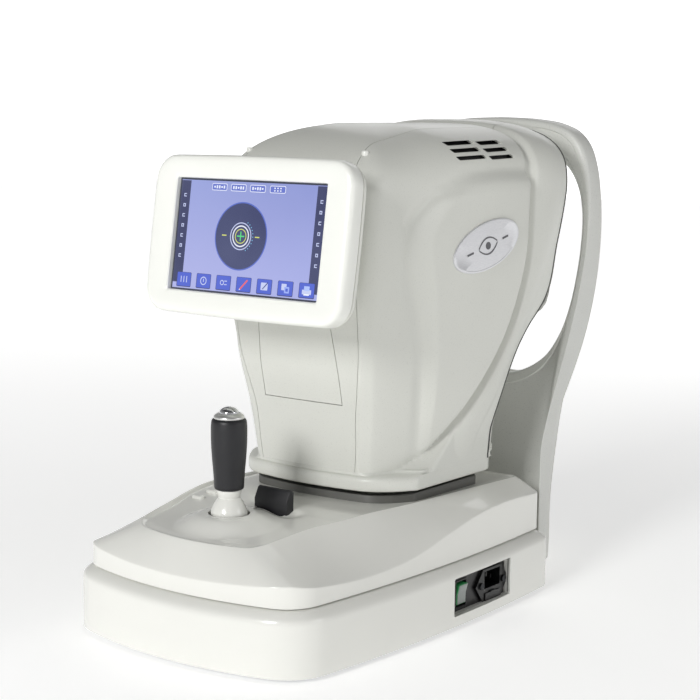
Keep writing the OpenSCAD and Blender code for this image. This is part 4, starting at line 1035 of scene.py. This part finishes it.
NAVY, DISC_BLUE, RIM_BLUE = (26, 32, 78), (34, 42, 88), (74, 96, 190)
PALE, WHITE, GREEN, YELLOW = (196, 204, 238), (236, 240, 250), (70, 220, 110), (214, 220, 90)
TILE, RED = (58, 84, 200), (230, 90, 90)
W, H = LCD_W, LCD_H
patch([(-W, -H), (W, -H), (W, H), (-W, H)], (8, 8, 12), 0)
patch([(-W + 1.6, -H + 1.4), (W - 1.6, -H + 1.4), (W - 1.6, H - 1.4), (-W + 1.6, H - 1.4)], None, 1,
      [(172, 176, 226), (164, 170, 224), (132, 142, 202), (146, 156, 212)])
DISC_X, DISC_Y = -7.5, 1.0
patch(disc(27.2, (DISC_X, DISC_Y)), RIM_BLUE, 2)
patch(disc(26.2, (DISC_X, DISC_Y)), DISC_BLUE, 3)
ring_patch(DISC_X, DISC_Y, 10.2, 11.0, PALE, 4)
ring_patch(DISC_X, DISC_Y, 7.6, 8.6, WHITE, 4)
ring_patch(DISC_X, DISC_Y, 5.2, 5.9, YELLOW, 4)
for turn_of in range(-60, 61, 12):
    a = math.radians(turn_of)
    box_patch(DISC_X + 12.6 * math.cos(a), DISC_Y + 12.6 * math.sin(a), 0.8, 0.8, (120, 190, 230), 4)
box_patch(DISC_X, DISC_Y, 1.0, 7.6, GREEN, 5)
box_patch(DISC_X, DISC_Y, 7.6, 1.0, GREEN, 6)
for side in (-1, 1):
    box_patch(DISC_X + side * 17.2, DISC_Y, 4.6, 0.9, YELLOW, 5)
    column_x = side * (W - 6.6)
    box_patch(column_x, 2.0, 10.2, 2 * H - 8, NAVY, 2)
    for k in range(7):
        y = 31.5 - 8.2 * k
        for up in (1.0, -1.0):
            box_patch(column_x, y + up, 2.6, 0.7, PALE, 3)
        for right in ((-0.95,), (-0.95, 0.95))[k % 2]:
            box_patch(column_x + right, y, 0.7, 2.0, PALE, 4)
for k, x in enumerate((-34.5, -14.5, 5.5, 26.0)):
    box_patch(x, H - 6.2, 16.0, 5.8, WHITE, 2, 1.2)
    box_patch(x, H - 6.2, 15.0, 4.8, (92, 108, 196), 3, 0.9)
    if k < 3:
        for i in range(5):
            box_patch(x - 5 + 2.5 * i, H - 6.2, 1.5, 2.4 if (i + k) % 3 else 1.4, WHITE, 4)
    else:
        for i in range(3):
            box_patch(x - 3 + 3 * i, H - 5.2, 1.3, 1.1, WHITE, 4)
            box_patch(x - 3 + 3 * i, H - 7.2, 1.3, 1.1, WHITE, 4)
# What each tile shows: boxes, free outlines and rings, measured from the tile's middle.
TILE_BOXES = [
    [(-3, 0, 0.8, 5, PALE, 4), (0, 0, 0.8, 5, PALE, 4), (3, 0, 0.8, 5, PALE, 4)],
    [(0, 0.4, 0.8, 2.6, PALE, 4)],
    [(2.4, 1.4, 2.8, 0.7, PALE, 4), (2.4, -1.4, 2.8, 0.7, PALE, 4)],
    [],
    [(0, 0, 7, 6, PALE, 4, 0.6)],
    [(-1.4, 1, 5, 5, PALE, 4, 0.5), (1.6, -1.2, 5, 5, (150, 170, 240), 5, 0.5),
     (1.6, -1.2, 2.4, 2.4, TILE, 6)],
    [(0, -1.4, 9, 3.6, PALE, 4, 0.4), (0, 1.4, 5.4, 3.6, (170, 190, 245), 5, 0.3),
     (0, -3.4, 5.4, 1.2, WHITE, 5)]]
TILE_SHAPES = [(3, [(-4, -3.4), (-2.8, -4.2), (4.2, 3.2), (3.2, 4.2)], RED, 4),
               (3, [(-4, -3.4), (-2.8, -4.2), (-4.4, -4.6)], WHITE, 5),
               (4, [(-2, -2), (-1.2, -2.4), (4, 3), (3.2, 3.6)], (40, 56, 130), 5)]
TILE_RINGS = [(1, 0, 2.6, 3.4, 20), (2, -1.4, 1.4, 2.1, 16)]
tile_x, tile_y = -63.5 + 21.3 * np.arange(7), -H + 8.6
for x, boxes in zip(tile_x, TILE_BOXES):
    box_patch(x, tile_y - 0.2, 15.6, 12.0, (30, 40, 110), 2, 1.0)
    box_patch(x, tile_y, 14.6, 11.0, TILE, 3, 0.8)
    for right, up, *rest in boxes:
        box_patch(x + right, tile_y + up, *rest)
for k, outline, colour, layer in TILE_SHAPES:
    patch(np.array(outline) + (tile_x[k], tile_y), colour, layer)
for k, right, r_in, r_out, points in TILE_RINGS:
    ring_patch(tile_x[k] + right, tile_y, r_in, r_out, PALE, 4, count=points)
spots, faces, tones = [], [], []
for outline, colour, layer, colours in patches:
    faces.append(list(range(len(spots), len(spots) + len(outline))))
    spots += np.insert(outline, 2, -1.2 + 0.045 * layer, 1).tolist()
    tones += [tint(*one) for one in (colours or [colour] * len(outline))]
picture_mesh = bpy.data.meshes.new("screen_picture")
picture_mesh.from_pydata(row(on_monitor(spots)), [], faces)
tone_map = picture_mesh.attributes.new("tone", "FLOAT_COLOR", "POINT")
tone_map.data.foreach_set("color", np.array(tones, np.float32).ravel())
screen_picture = bpy.data.objects.new("screen_picture", picture_mesh)
bpy.context.scene.collection.objects.link(screen_picture)


def screen_finish(tree, place):
    """A lit screen: the colours of its attribute, a little uneven, glowing under a glossy face."""
    tone = add(tree, "ShaderNodeAttribute", {"attribute_name": "tone"}, {}, "Color")
    uneven = noise(tree, place, 14.0)
    shown = blend(tree, uneven * 0.16, tone, (0.55, 0.6, 0.9, 1))
    return {"Base Color": blend(tree, 0.86, shown, (0.0, 0.0, 0.0, 1)), "Emission Color": shown,
            "Roughness": 0.14 + uneven * 0.04}


screen_glow = finish("lit_screen", {"Emission Strength": 0.92, "Coat Weight": 0.3}, screen_finish)
own(screen_picture, "monitor", screen_glow, "screen", "display_panel")

# Caps over the screws on the covers' shoulders.
for side, name in ((1, "right_cap"), (-1, "left_cap")):
    flat_head = head.reshape(-1, 3)
    nearest = flat_head[np.argmin(((flat_head - [side * 58.0, 176, 379]) ** 2).sum(1))]
    cap_t = np.arange(32) * 2 * np.pi / 32
    cap_rings = [np.stack([nearest[0] + r * np.cos(cap_t), nearest[1] + r * np.sin(cap_t),
                           np.full(32, nearest[2] + z)], 1)
                 for r, z in ((3.0, -3.0), (3.0, 1.2), (2.8, 1.7), (2.3, 2.0), (1.6, 1.6), (0.01, 1.5))]
    cap = build(name, [(np.stack(cap_rings), True, False)], 0, 40)
    own(cap, "head", monitor_white, "cream_plastic")

# ---------------------------------------------------------------- Headrest arch
# A tall moulding that stands behind the base: a deep hoop with rounded edges, a raised band
# round its opening, and a closed lower panel. The forehead pad and chin rest are behind it.
ARCH_HIGH = drawn("headrest_arch")[1]
ARCH_Y = ARCH_HIGH[1] - 101


def lean(z, start, one, two, end):
    """How far back a side of the hoop stands at a height: upright, then a leaning cubic curve from
    start to end with two handles, then upright again."""
    t = np.linspace(0, 1, 80)[:, None]
    start, one, two, end = (np.array(p, float) for p in (start, one, two, end))
    path = (1 - t) ** 3 * start + 3 * t * (1 - t) ** 2 * one + 3 * t * t * (1 - t) * two + t ** 3 * end
    return ARCH_Y + np.interp(z, path[:, 1], path[:, 0])


def arch_front(z):
    """How far forward the arch's columns stand at a height."""
    return lean(z, (0, 110), (0, 150), (69, 225), (78, 330))


def arch_rear(z):
    """How far back the arch's columns stand at a height."""
    return lean(z, (19, 105), (19, 170), (95, 185), (101, 317))


def arch_half(table, count):
    """Evenly spaced points along a half outline given by a few points, smoothly joined."""
    table = np.asarray(table, float)
    t = np.concatenate([[0], np.cumsum(np.linalg.norm(np.diff(table, axis=0), axis=1))])
    fine = np.linspace(0, t[-1], 600)
    path = np.stack([through(t, table[:, 0], fine), through(t, table[:, 1], fine)], 1)
    run = np.concatenate([[0], np.cumsum(np.linalg.norm(np.diff(path, axis=0), axis=1))])
    even = np.linspace(0, run[-1], count)
    return np.stack([np.interp(even, run, path[:, 0]), np.interp(even, run, path[:, 1])], 1)


OUTER = [(0, 8), (40, 8), (80, 8), (98, 8.6), (103, 12), (104, 20), (104, 60), (104, 120), (104, 200),
         (104, 260), (103.8, 310), (102.4, 342), (98.5, 368), (91, 388), (80, 400), (62, 407.5),
         (35, 411.5), (0, 413)]
HOLE = [(0, 174), (22, 174.5), (44, 177.5), (66, 184), (83, 197), (92, 216), (96, 240), (97.2, 270),
        (96.8, 300), (94.5, 330), (89, 352), (78, 368), (62, 378), (38, 383), (0, 384.5)]
N_ARCH = 132
outer = arch_half(OUTER, N_ARCH)
hole = arch_half(HOLE, N_ARCH)


width_of = np.linalg.norm(hole - outer, axis=1)
panel_depth = 0.2 + 1.5 * ease((width_of - 20) / 15)


def arch_loop(from_outer, from_hole, back):
    """A loop a number of millimetres in from the outer outline, or else from the hole, standing
    back from the front curve by a number of millimetres, or forward of the rear if negative."""
    mix = (np.clip(from_outer / width_of, 0, 0.5) if from_hole is None
           else 1 - np.clip(from_hole / width_of, 0, 0.5))
    half = outer + (hole - outer) * mix[:, None]
    ring = both_sides(np.insert(half, 2, back, 1))
    z, back = ring[:, 1], ring[:, 2]
    depth = arch_rear(z) - arch_front(z)
    y = arch_front(z) + np.where(back >= 0, np.minimum(back, depth), depth + back)
    return np.stack([ring[:, 0], y, z], 1)


arch_loops = [arch_loop(2.6, None, -0.01), arch_loop(0.8, None, -0.9), arch_loop(0, None, -2.8),
              arch_loop(0, None, 5.0), arch_loop(0.3, None, 3.2), arch_loop(1.2, None, 1.4),
              arch_loop(2.6, None, 0.5), arch_loop(4.5, None, 0.2), arch_loop(7.2, None, 0.2),
              arch_loop(8.0, None, panel_depth * 0.6), arch_loop(8.6, None, panel_depth),
              arch_loop(0, 10.0, panel_depth), arch_loop(0, 9.4, panel_depth * 0.6),
              arch_loop(0, 8.6, 0.2), arch_loop(0, 3.2, 0.3), arch_loop(0, 1.2, 1.0),
              arch_loop(0, 0.3, 2.4), arch_loop(0, 0, 4.2),
              arch_loop(0, 0, -2.4), arch_loop(0, 0.7, -0.8), arch_loop(0, 2.2, -0.01)]
arch_white = moulded("speckled_headrest_plastic", tint(218, 219, 214), 0.42, 1.5, 0.02, 0.30, 0.1)
arch_shell = build("arch_shell", [(np.stack(arch_loops), True, True)])
own(arch_shell, "base", arch_white, "cream_plastic", "headrest_arch")


# ---------------------------------------------------------------- Forehead pad and chin rest
# A soft silicone pad across the hoop's top, and a moulded chin cup on a steel post that a motor
# raises. The cover behind the hoop's foot holds the motor.
def crowned(name, low, high, crown, power=3.2):
    """A stuffed pad: a squircle outline in x and z, whose thickness falls off towards the edge as
    a root of the distance, so that it is full in the middle and pulls in at its corners."""
    mid, half = (low + high) / 2, (high - low) / 2
    rings = []
    for a in np.linspace(-90, 90, 25):
        reach, lift = math.cos(math.radians(a)) ** (2 / power), math.sin(math.radians(a))
        t = np.arange(96) * 2 * np.pi / 96
        x = np.sign(np.cos(t)) * np.abs(np.cos(t)) ** (2 / 5) * half[0]
        z = np.sign(np.sin(t)) * np.abs(np.sin(t)) ** (2 / 4) * half[2]
        grow = 1 - (1 - reach) * min(1, half[1] * 1.6 / half[2])
        edge = (half[0] - (1 - reach) * half[1] * crown) / half[0]
        y = mid[1] + half[1] * np.sign(lift) * abs(lift) ** 0.8
        bend = 0.0008 * (x * edge) ** 2 * (1 if lift > 0 else 0.0)
        rings.append(np.stack([mid[0] + x * edge, np.full(96, y) - bend, mid[2] + z * grow], 1))
    for end in (0, -1):
        point = rings[end].mean(0) + (rings[end] - rings[end].mean(0)) * 1e-4
        if end == 0:
            rings.insert(0, point)
        else:
            rings.append(point)
    return build(name, [(np.stack(rings), True, False)], 0, 60)


def silicone_finish(tree, place):
    """Milky silicone: a fine matt skin with faint mottling and a few dust marks."""
    mottle = noise(tree, place, 60, 3.0)
    skin = noise(tree, place, 900, 2.0)
    return {"Base Color": blend(tree, mottle, tint(214, 216, 212), tint(226, 227, 224)),
            "Roughness": 0.52 + mottle * 0.12, "Normal": bump(tree, skin, 0.012 * MM)}


milky_silicone = finish("milky_silicone", {"Subsurface Weight": 0.08}, silicone_finish)
forehead_cushion = crowned("forehead_cushion", *drawn("forehead_pad"), 1.2)
own(forehead_cushion, "base", milky_silicone, "silicone", "forehead_pad")

cup_low, cup_high = drawn("chin_cup")
cup_mid, cup_half = (cup_low + cup_high) / 2, (cup_high - cup_low) / 2
CUP_STEPS = [(0.42, 0.0), (0.60, 0.02), (0.78, 0.16), (0.92, 0.42), (0.99, 0.74), (1.0, 0.90), (0.985, 0.97),
             (0.955, 1.0), (0.93, 0.97), (0.90, 0.86), (0.80, 0.62), (0.6, 0.42), (0.35, 0.34), (0.1, 0.32)]
cup_rings = []
t = np.arange(96) * 2 * np.pi / 96
for reach, lift in CUP_STEPS:
    x = np.sign(np.cos(t)) * np.abs(np.cos(t)) ** 0.8 * cup_half[0] * reach
    y = np.sign(np.sin(t)) * np.abs(np.sin(t)) ** 0.8 * cup_half[1] * reach
    dip = 3.2 * np.maximum(np.sin(t), 0) ** 3 * ease((reach - 0.6) / 0.4) * (lift > 0.5)
    cup_rings.append(np.stack([cup_mid[0] + x, cup_mid[1] + y,
                               cup_low[2] + lift * 2 * cup_half[2] - dip], 1))
for end in (0, -1):
    point = cup_rings[end].mean(0) + (cup_rings[end] - cup_rings[end].mean(0)) * 1e-4
    cup_rings.insert(0, point) if end == 0 else cup_rings.append(point)
chin_bowl = build("chin_bowl", [(np.stack(cup_rings), True, False)], 0, 50)
own(chin_bowl, "chin_rest", gloss_white, "cream_plastic", "chin_cup")

# The housing behind the hoop's foot: a closing panel and a box with drafted, rounded walls.
panel_z = np.concatenate([[33.3, 34.2], np.linspace(38, 154, 30), [158.6, 159.5]])
panel_rings = []
for z in panel_z:
    pinch = 2.0 * max(0, (38 - z) / 4.7) + 2.0 * max(0, (z - 154) / 5.5)
    back_at, t_x = float(arch_rear(z)), np.linspace(-1, 1, 41)
    x = t_x * (98.5 - pinch * 1.2)
    bulge = (4.2 - pinch) * (1 - t_x ** 8) + 0.3
    front_side = np.stack([x, np.full(41, back_at - 1.2), np.full(41, z)], 1)
    back_side = np.stack([x, back_at + bulge, np.full(41, z)], 1)[::-1]
    panel_rings.append(np.concatenate([front_side, back_side]))
panel_ends = [ring * [1, 0, 1] + [0, ring[:, 1].mean(), 0] for ring in (panel_rings[0], panel_rings[-1])]
panel_rings = [panel_ends[0], *panel_rings, panel_ends[1]]
rear_panel = build("rear_panel", [(np.stack(panel_rings), True, False)])
own(rear_panel, "base", arch_white, "cream_plastic", "headrest_back")

BOX_Y = 406.0, 500.0
box_mid = (0, (BOX_Y[0] + BOX_Y[1]) / 2)
box_loops = []
for inset, z in ((16, 37.0), (6, 37.0), (3.2, 37.9), (1.2, 40), (0.2, 44), (0, 50), (0.8, 98), (1.3, 106),
                 (2.2, 110.6), (4.2, 113.8), (7.2, 115.5), (11, 116), (20, 116)):
    loop = rounded(80 - 2 * inset, BOX_Y[1] - BOX_Y[0] - 2 * inset, max(14 - inset * 0.6, 3), box_mid, 10)
    box_loops.append(np.insert(loop, 2, z, 1))
box_ends = [ring.mean(0) + (ring - ring.mean(0)) * 1e-4 for ring in (box_loops[0], box_loops[-1])]
box_loops = [box_ends[0], *box_loops, box_ends[1]]
chin_housing = build("chin_housing", [(np.stack(box_loops), True, False)])
own(chin_housing, "base", gloss_white, "cream_plastic")
post_low, post_high = drawn("chin_post")
post_mid = (post_low + post_high)[:2] / 2
t = np.arange(64) * 2 * np.pi / 64
collar_rings_of = [np.stack([post_mid[0] + r * np.cos(t), post_mid[1] + r * np.sin(t), np.full(64, z)], 1)
                   for r, z in ((8.5, 113), (12.5, 113), (12.5, 117.4), (11.8, 118.4), (9.4, 118.8),
                                (8.5, 118.4))]
post_collar = build("post_collar", [(np.stack(collar_rings_of), True, True)])
own(post_collar, "base", dark_band, "dark_band")

# ---------------------------------------------------------------- Joystick
# A moulded bell and collar carry a soft black grip. A silver ring and a domed chrome button,
# which takes the reading, close its top. All are turned about the stick.
def turned(name, centre_at, profile, count=72, angle=40):
    """A turned piece: (radius, height) points carried round the vertical line through a centre."""
    profile = np.asarray(profile, float)
    t = np.arange(count) * 2 * np.pi / count
    rings = np.stack([centre_at[0] + profile[:, :1] * np.cos(t), centre_at[1] + profile[:, :1] * np.sin(t),
                      np.repeat(profile[:, 1:], count, 1)], 2)
    return build(name, [(rings, True, False)], 0, angle)


def smooth_profile(points, count=60):
    """Even points on a smooth curve through the given ones."""
    points = np.asarray(points, float)
    run = np.concatenate([[0], np.cumsum(np.linalg.norm(np.diff(points, axis=0), axis=1))])
    at = np.linspace(0, run[-1], count)
    return np.stack([through(run, points[:, 0], at), through(run, points[:, 1], at)], 1)


STICK = (0.0, JOY_Y)
GRIP_Z, GRIP_TOP = drawn("joystick_grip")[0][2], drawn("joystick_grip")[1][2]
bell_low = drawn("joystick_bell")[0][2]
skirt_of = smooth_profile([(14.7, bell_low + 0.4), (14.6, bell_low + 2.4), (13.7, bell_low + 5.2),
                           (12.0, bell_low + 8.6), (10.2, bell_low + 11.6), (9.1, bell_low + 13.2)], 26)
collar_of = [(8.6, bell_low + 13.5), (8.6, bell_low + 14.2), (9.0, bell_low + 14.6), (9.3, bell_low + 16),
             (9.9, bell_low + 18.6), (9.9, GRIP_Z - 0.6), (9.4, GRIP_Z - 0.2), (4.2, GRIP_Z - 0.2)]
bell_profile = [(11.5, bell_low), (14.2, bell_low), *skirt_of.tolist(), *collar_of,
                (4.2, bell_low + 15), (10.5, bell_low + 6), (11.5, bell_low + 1), (11.5, bell_low)]
joystick_skirt = turned("joystick_skirt", STICK, bell_profile)
own(joystick_skirt, "joystick", gloss_white, "cream_plastic", "joystick_bell")

side_of = smooth_profile([(11.9, GRIP_Z + 1.6), (12.5, GRIP_Z + 12), (13.5, GRIP_Z + 24),
                          (14.25, GRIP_Z + 35), (14.5, GRIP_Z + 45), (14.45, GRIP_TOP - 6.5),
                          (14.2, GRIP_TOP - 3.2)], 44)
grip_profile = [(4.2, GRIP_Z), (10.6, GRIP_Z), (11.4, GRIP_Z + 0.4), *side_of.tolist(),
                (13.9, GRIP_TOP - 1.6), (13.1, GRIP_TOP - 0.5), (12.2, GRIP_TOP), (9.0, GRIP_TOP),
                (9.0, GRIP_TOP - 3), (4.2, GRIP_TOP - 3), (4.2, GRIP_Z)]
soft_grip = turned("soft_grip", STICK, grip_profile, 96)
soft_black = moulded("soft_black_rubber", tint(25, 25, 29), 0.42, 0.9, 0.02, 0.0, 0.0)
own(soft_grip, "grip", soft_black, "black_rubber", "joystick_grip")

ring_profile = [(radius, GRIP_TOP + above) for radius, above in (
    (8.3, -2.6), (12.0, -0.2), (12.3, 0.4), (12.25, 1.4), (11.7, 2.4), (10.4, 3.4), (9.2, 4.1), (8.4, 4.2),
    (8.15, 3.8), (8.1, -2.0), (8.3, -2.6))]
silver_ring = turned("silver_ring", STICK, smooth_profile(ring_profile, 80), 96)


def satin_metal(colour, rough, along=(1, 1, 1), scale=1800):
    """Metal with fine hairlines: along stretches them; patches dull the shine a little."""
    def varying(tree, place):
        """Links for the colour, the gloss and the hairlines."""
        stretched = add(tree, "ShaderNodeMapping", {}, {"Vector": place, "Scale": along})
        hair = noise(tree, stretched, scale, 2.0)
        patch_of = noise(tree, place, 30.0, 2.0)
        dull = [v * 0.86 for v in colour[:3]] + [1]
        return {"Base Color": blend(tree, patch_of, colour, dull),
                "Roughness": rough + patch_of * 0.08 + hair * 0.05,
                "Normal": bump(tree, hair, 0.006 * MM)}
    return varying


satin_silver = finish("satin_silver", {"Metallic": 0.85}, satin_metal(tint(226, 226, 224), 0.24, (1, 1, 14)))
own(silver_ring, "grip", satin_silver, "chrome", "grip_ring")
BUTTON_R, BUTTON_RISE = 7.7, 4.6
dome = [(BUTTON_R * math.sin(a), GRIP_TOP + 4.6 + BUTTON_RISE * math.cos(a))
        for a in np.radians(np.linspace(0.2, 84, 26))]
button_profile = [*dome, (7.75, GRIP_TOP + 3.6), (7.7, GRIP_TOP + 2.0), (0.01, GRIP_TOP + 2.0)]
chrome_button = turned("chrome_button", STICK, button_profile)
bright_chrome = finish("bright_chrome", {"Metallic": 1.0},
                       satin_metal(tint(222, 223, 226), 0.05, (1, 1, 1), 600))
own(chrome_button, "button", bright_chrome, "chrome", "capture_button")


# ---------------------------------------------------------------- Chin-rest buttons and lock lever
# Two soft cream keys raise and lower the chin rest. A black paddle, which swings on a pin under
# the deck, locks the stage.
def pillow_key(name, low, high, crown):
    """A key: a rounded outline whose edge rolls over a crowned top."""
    mid, half = (low + high) / 2, (high - low) / 2
    loops = []
    for inset, drop in ((0.35, half[2] * 2), (0.0, half[2] * 1.6), (0.0, 1.5), (0.15, 0.85), (0.6, 0.35),
                        (1.3, 0.1), (2.2, 0.0)):
        outline = rounded(2 * (half[0] - inset), 2 * (half[1] - inset), max(half[1] - inset - 0.3, 0.4),
                          mid[:2], 8)
        z = high[2] - crown - drop + crown * (1 - ((outline[:, 0] - mid[0]) / half[0]) ** 2)
        loops.append(np.insert(outline, 2, np.maximum(z, low[2]), 1))
    for end in (0, -1):
        point = loops[end].mean(0) + (loops[end] - loops[end].mean(0)) * 1e-4
        loops.insert(0, point) if end == 0 else loops.append(point)
    return build(name, [(np.stack(loops), True, False)], 0, 40)


for name, node, body in (("chin_up_key", "chin_up_button", "chin_up"),
                         ("chin_down_key", "chin_down_button", "chin_down")):
    low, high = drawn(node)
    key = pillow_key(name, low - [0.1, 0.1, 0], high + [0.1, 0.1, 0.6], 0.5)
    own(key, body, gloss_white, "cream_plastic", node)

low, high = drawn("lock_lever")
EDGE = 0.6
profile = np.array([(low[1] + 1.5, low[2]), (low[1] + 0.8, high[2] - 9.5), (low[1] + 5.2, high[2] - 1.0),
                    (low[1] + 7.0, high[2]), (high[1] - 2.0, high[2] - 0.4), (high[1] - 0.6, high[2] - 2.0),
                    (high[1] - 1.6, low[2])])
paddle_loops = []
for x, shrink in ((low[0], EDGE), (low[0] + 0.2, 0.2), (low[0] + EDGE, 0), (high[0] - EDGE, 0),
                  (high[0] - 0.2, 0.2), (high[0], EDGE)):
    middle = profile.mean(0)
    reach = profile - middle
    loop = middle + reach * (1 - shrink / np.linalg.norm(reach, axis=1)[:, None])
    paddle_loops.append(np.insert(loop, 0, x, 1))
for end in (0, -1):
    point = paddle_loops[end].mean(0) + (paddle_loops[end] - paddle_loops[end].mean(0)) * 1e-4
    paddle_loops.insert(0, point) if end == 0 else paddle_loops.append(point)
lock_paddle = build("lock_paddle", [(np.stack(paddle_loops), True, False)], 0, 30)
own(lock_paddle, "lever", soft_black, "black_plastic", "lock_lever")


# ---------------------------------------------------------------- Power switch and inlet
# The rocker is lit green plastic with a pale face, in a thin black frame. The inlet, its fuse
# drawer and its screws are bolted to a black panel at the back of the recess.
def bevelled(item, width, segments=3):
    """Rounds a piece's sharp edges with a live Bevel that is then applied."""
    round_off = item.modifiers.new("edge", "BEVEL")
    round_off.width = width * MM
    round_off.segments = segments
    round_off.limit_method = "ANGLE"
    settle(item)
    shade(item)
    return item


low, high = drawn("rocker_switch")
face_x = panel_high[0]
mid_z = (low[2] + high[2]) / 2
rocker_shape = [(face_x - 5, low[2] + 1.2), (face_x + 0.9, low[2] + 1.2), (face_x + 1.2, mid_z),
                (high[0] - 0.2, high[2] - 1.4), (face_x - 5, high[2] - 1.2)]
rocker_body = bevelled(prism(rocker_shape, low[1] + 0.6, high[1] - 0.6, 1), 0.5)
rocker_body.name = "rocker_body"


def lit_green(tree, place):
    """Green lens plastic, deeper in some places, as if lit from inside."""
    depth_of = noise(tree, place, 160, 2.0)
    return {"Base Color": blend(tree, depth_of, tint(30, 128, 70), tint(70, 176, 104)),
            "Roughness": 0.26 + depth_of * 0.08, "Normal": bump(tree, depth_of, 0.02 * MM)}


green_lens = finish("green_lens_plastic", {}, lit_green)
own(rocker_body, "rocker", green_lens, "switch_green", "rocker_switch")
inner_shape = [(face_x + 0.5, low[2] + 1.7), (face_x + 1.25, low[2] + 1.7), (face_x + 1.55, mid_z),
               (high[0] + 0.1, high[2] - 2.0), (face_x + 1.2, high[2] - 2.0), (face_x + 0.6, mid_z)]
rocker_face = bevelled(prism(inner_shape, low[1] + 1.5, high[1] - 0.7, 1), 0.25)
rocker_face.name = "rocker_face"
pale_lens = moulded("pale_lens_plastic", tint(150, 156, 153), 0.3, 1.0, 0.01)
own(rocker_face, "rocker", pale_lens, "pale_plastic")

switch_mid = (low[1] + high[1]) / 2, (low[2] + high[2]) / 2
frame_rings = []
for w, h, x in ((17.4, 24.4, face_x - 0.4), (17.4, 24.4, face_x + 0.7), (16.8, 23.8, face_x + 1.1),
                (15.0, 22.0, face_x + 1.1), (14.4, 21.4, face_x + 0.7), (14.4, 21.4, face_x - 0.4)):
    frame_rings.append(np.insert(rounded(w, h, 1.2, switch_mid), 0, x, 1))
switch_frame = build("switch_frame", [(np.stack(frame_rings), True, True)], 0, 30)
deep_black = moulded("deep_black_plastic", tint(15, 15, 16), 0.34, 1.4, 0.015)
own(switch_frame, "base", deep_black, "black_plastic")

# ---------------------------------------------------------------- Finishes of the parts that show as made
# Frames, racks, screws, motors, optics and the black power parts keep the shape they were
# machined or moulded to, each with the finish of its stuff.
def rolled_steel(tree, place):
    """Zinc-plated steel: cloudy plating, fine rolling lines, slightly uneven shine."""
    lines = add(tree, "ShaderNodeMapping", {}, {"Vector": place, "Scale": (1, 0.08, 1)})
    hair = noise(tree, lines, 1500, 2.0)
    cloud = noise(tree, place, 40, 3.0)
    return {"Base Color": blend(tree, cloud, tint(168, 170, 174), tint(196, 197, 200)),
            "Roughness": 0.28 + cloud * 0.14, "Normal": bump(tree, hair, 0.008 * MM)}


def cast_alloy(tree, place):
    """Bead-blasted aluminium: an even fine grain with soft clouds."""
    grain_of = noise(tree, place, 1400, 2.0)
    cloud = noise(tree, place, 25, 2.0)
    return {"Base Color": blend(tree, cloud, tint(176, 178, 180), tint(198, 199, 200)),
            "Roughness": 0.42 + cloud * 0.10, "Normal": bump(tree, grain_of, 0.02 * MM)}


def bearing_brass(tree, place):
    """Turned brass with ring marks and a darker bloom."""
    bloom = noise(tree, place, 60, 3.0)
    rings = add(tree, "ShaderNodeMapping", {}, {"Vector": place, "Scale": (0.1, 0.1, 1)})
    marks_of = noise(tree, rings, 2500)
    return {"Base Color": blend(tree, bloom, tint(200, 164, 92), tint(168, 130, 66)),
            "Roughness": 0.26 + bloom * 0.14, "Normal": bump(tree, marks_of, 0.01 * MM)}


def board(tree, place):
    """Green solder mask over copper runs: blocky cells stand for the runs and pads."""
    cells = add(tree, "ShaderNodeTexVoronoi", {"distance": "CHEBYCHEV"}, {"Vector": place, "Scale": 380}, 0)
    runs = limit(cells, 0.30, 0.36)
    return {"Base Color": blend(tree, runs, tint(24, 92, 58), tint(36, 120, 78)),
            "Roughness": 0.40 - runs * 0.12, "Normal": bump(tree, runs, 0.03 * MM)}


def coated_glass(tree, place):
    """Objective glass under a violet coating that thins towards the rim."""
    drift = noise(tree, place, 50, 2.0)
    return {"Base Color": blend(tree, drift, tint(24, 22, 44), tint(44, 36, 70)),
            "Roughness": 0.05 + drift * 0.03}


def frosted(tree, place):
    """Opal acrylic over the ring of lamps."""
    haze = noise(tree, place, 120, 3.0)
    return {"Base Color": blend(tree, haze, tint(236, 237, 234), tint(222, 224, 220)),
            "Roughness": 0.5 + haze * 0.1, "Normal": bump(tree, haze, 0.01 * MM)}


def thermal_paper(tree, place):
    """Coated paper: faint fibres and wound edges."""
    fibre = noise(tree, place, 900, 4.0, 0.7)
    return {"Base Color": blend(tree, fibre, tint(240, 240, 238), tint(228, 229, 226)),
            "Roughness": 0.6 + fibre * 0.1, "Normal": bump(tree, fibre, 0.02 * MM)}


foot_rubber = moulded("foot_rubber", tint(28, 28, 28), 0.7, 0.8, 0.03)
dark_steel = finish("blackened_steel", {"Metallic": 0.9}, satin_metal(tint(52, 53, 56), 0.32))
FINISHES = {
    "steel": finish("plated_steel", {"Metallic": 0.95}, rolled_steel),
    "alloy": finish("blasted_alloy", {"Metallic": 0.9}, cast_alloy),
    "brass": finish("bearing_brass", {"Metallic": 1.0}, bearing_brass),
    "circuit_board": finish("green_board", {}, board),
    "lens_glass": finish("coated_lens", {"Coat Weight": 1.0, "Coat Roughness": 0.03}, coated_glass),
    "diffuser": finish("opal_diffuser", {"Subsurface Weight": 0.1}, frosted),
    "paper": finish("thermal_paper", {}, thermal_paper),
    "black_plastic": deep_black, "black_rubber": foot_rubber, "chrome": bright_chrome,
    "cream_plastic": gloss_white, "pale_plastic": pale_white, "speckled_plastic": arch_white,
    "dark_band": dark_band, "silicone": milky_silicone, "switch_green": green_lens,
    "silver_badge": silver_film, "screen": screen_glow,
}
SPECIAL = {"panel_screws": dark_steel}
for name, item in nodes.items():
    if not item.hide_render:
        made_of = item.data.materials[0].name.split(".")[0]
        item.data.materials[0] = SPECIAL.get(name) or FINISHES[made_of]
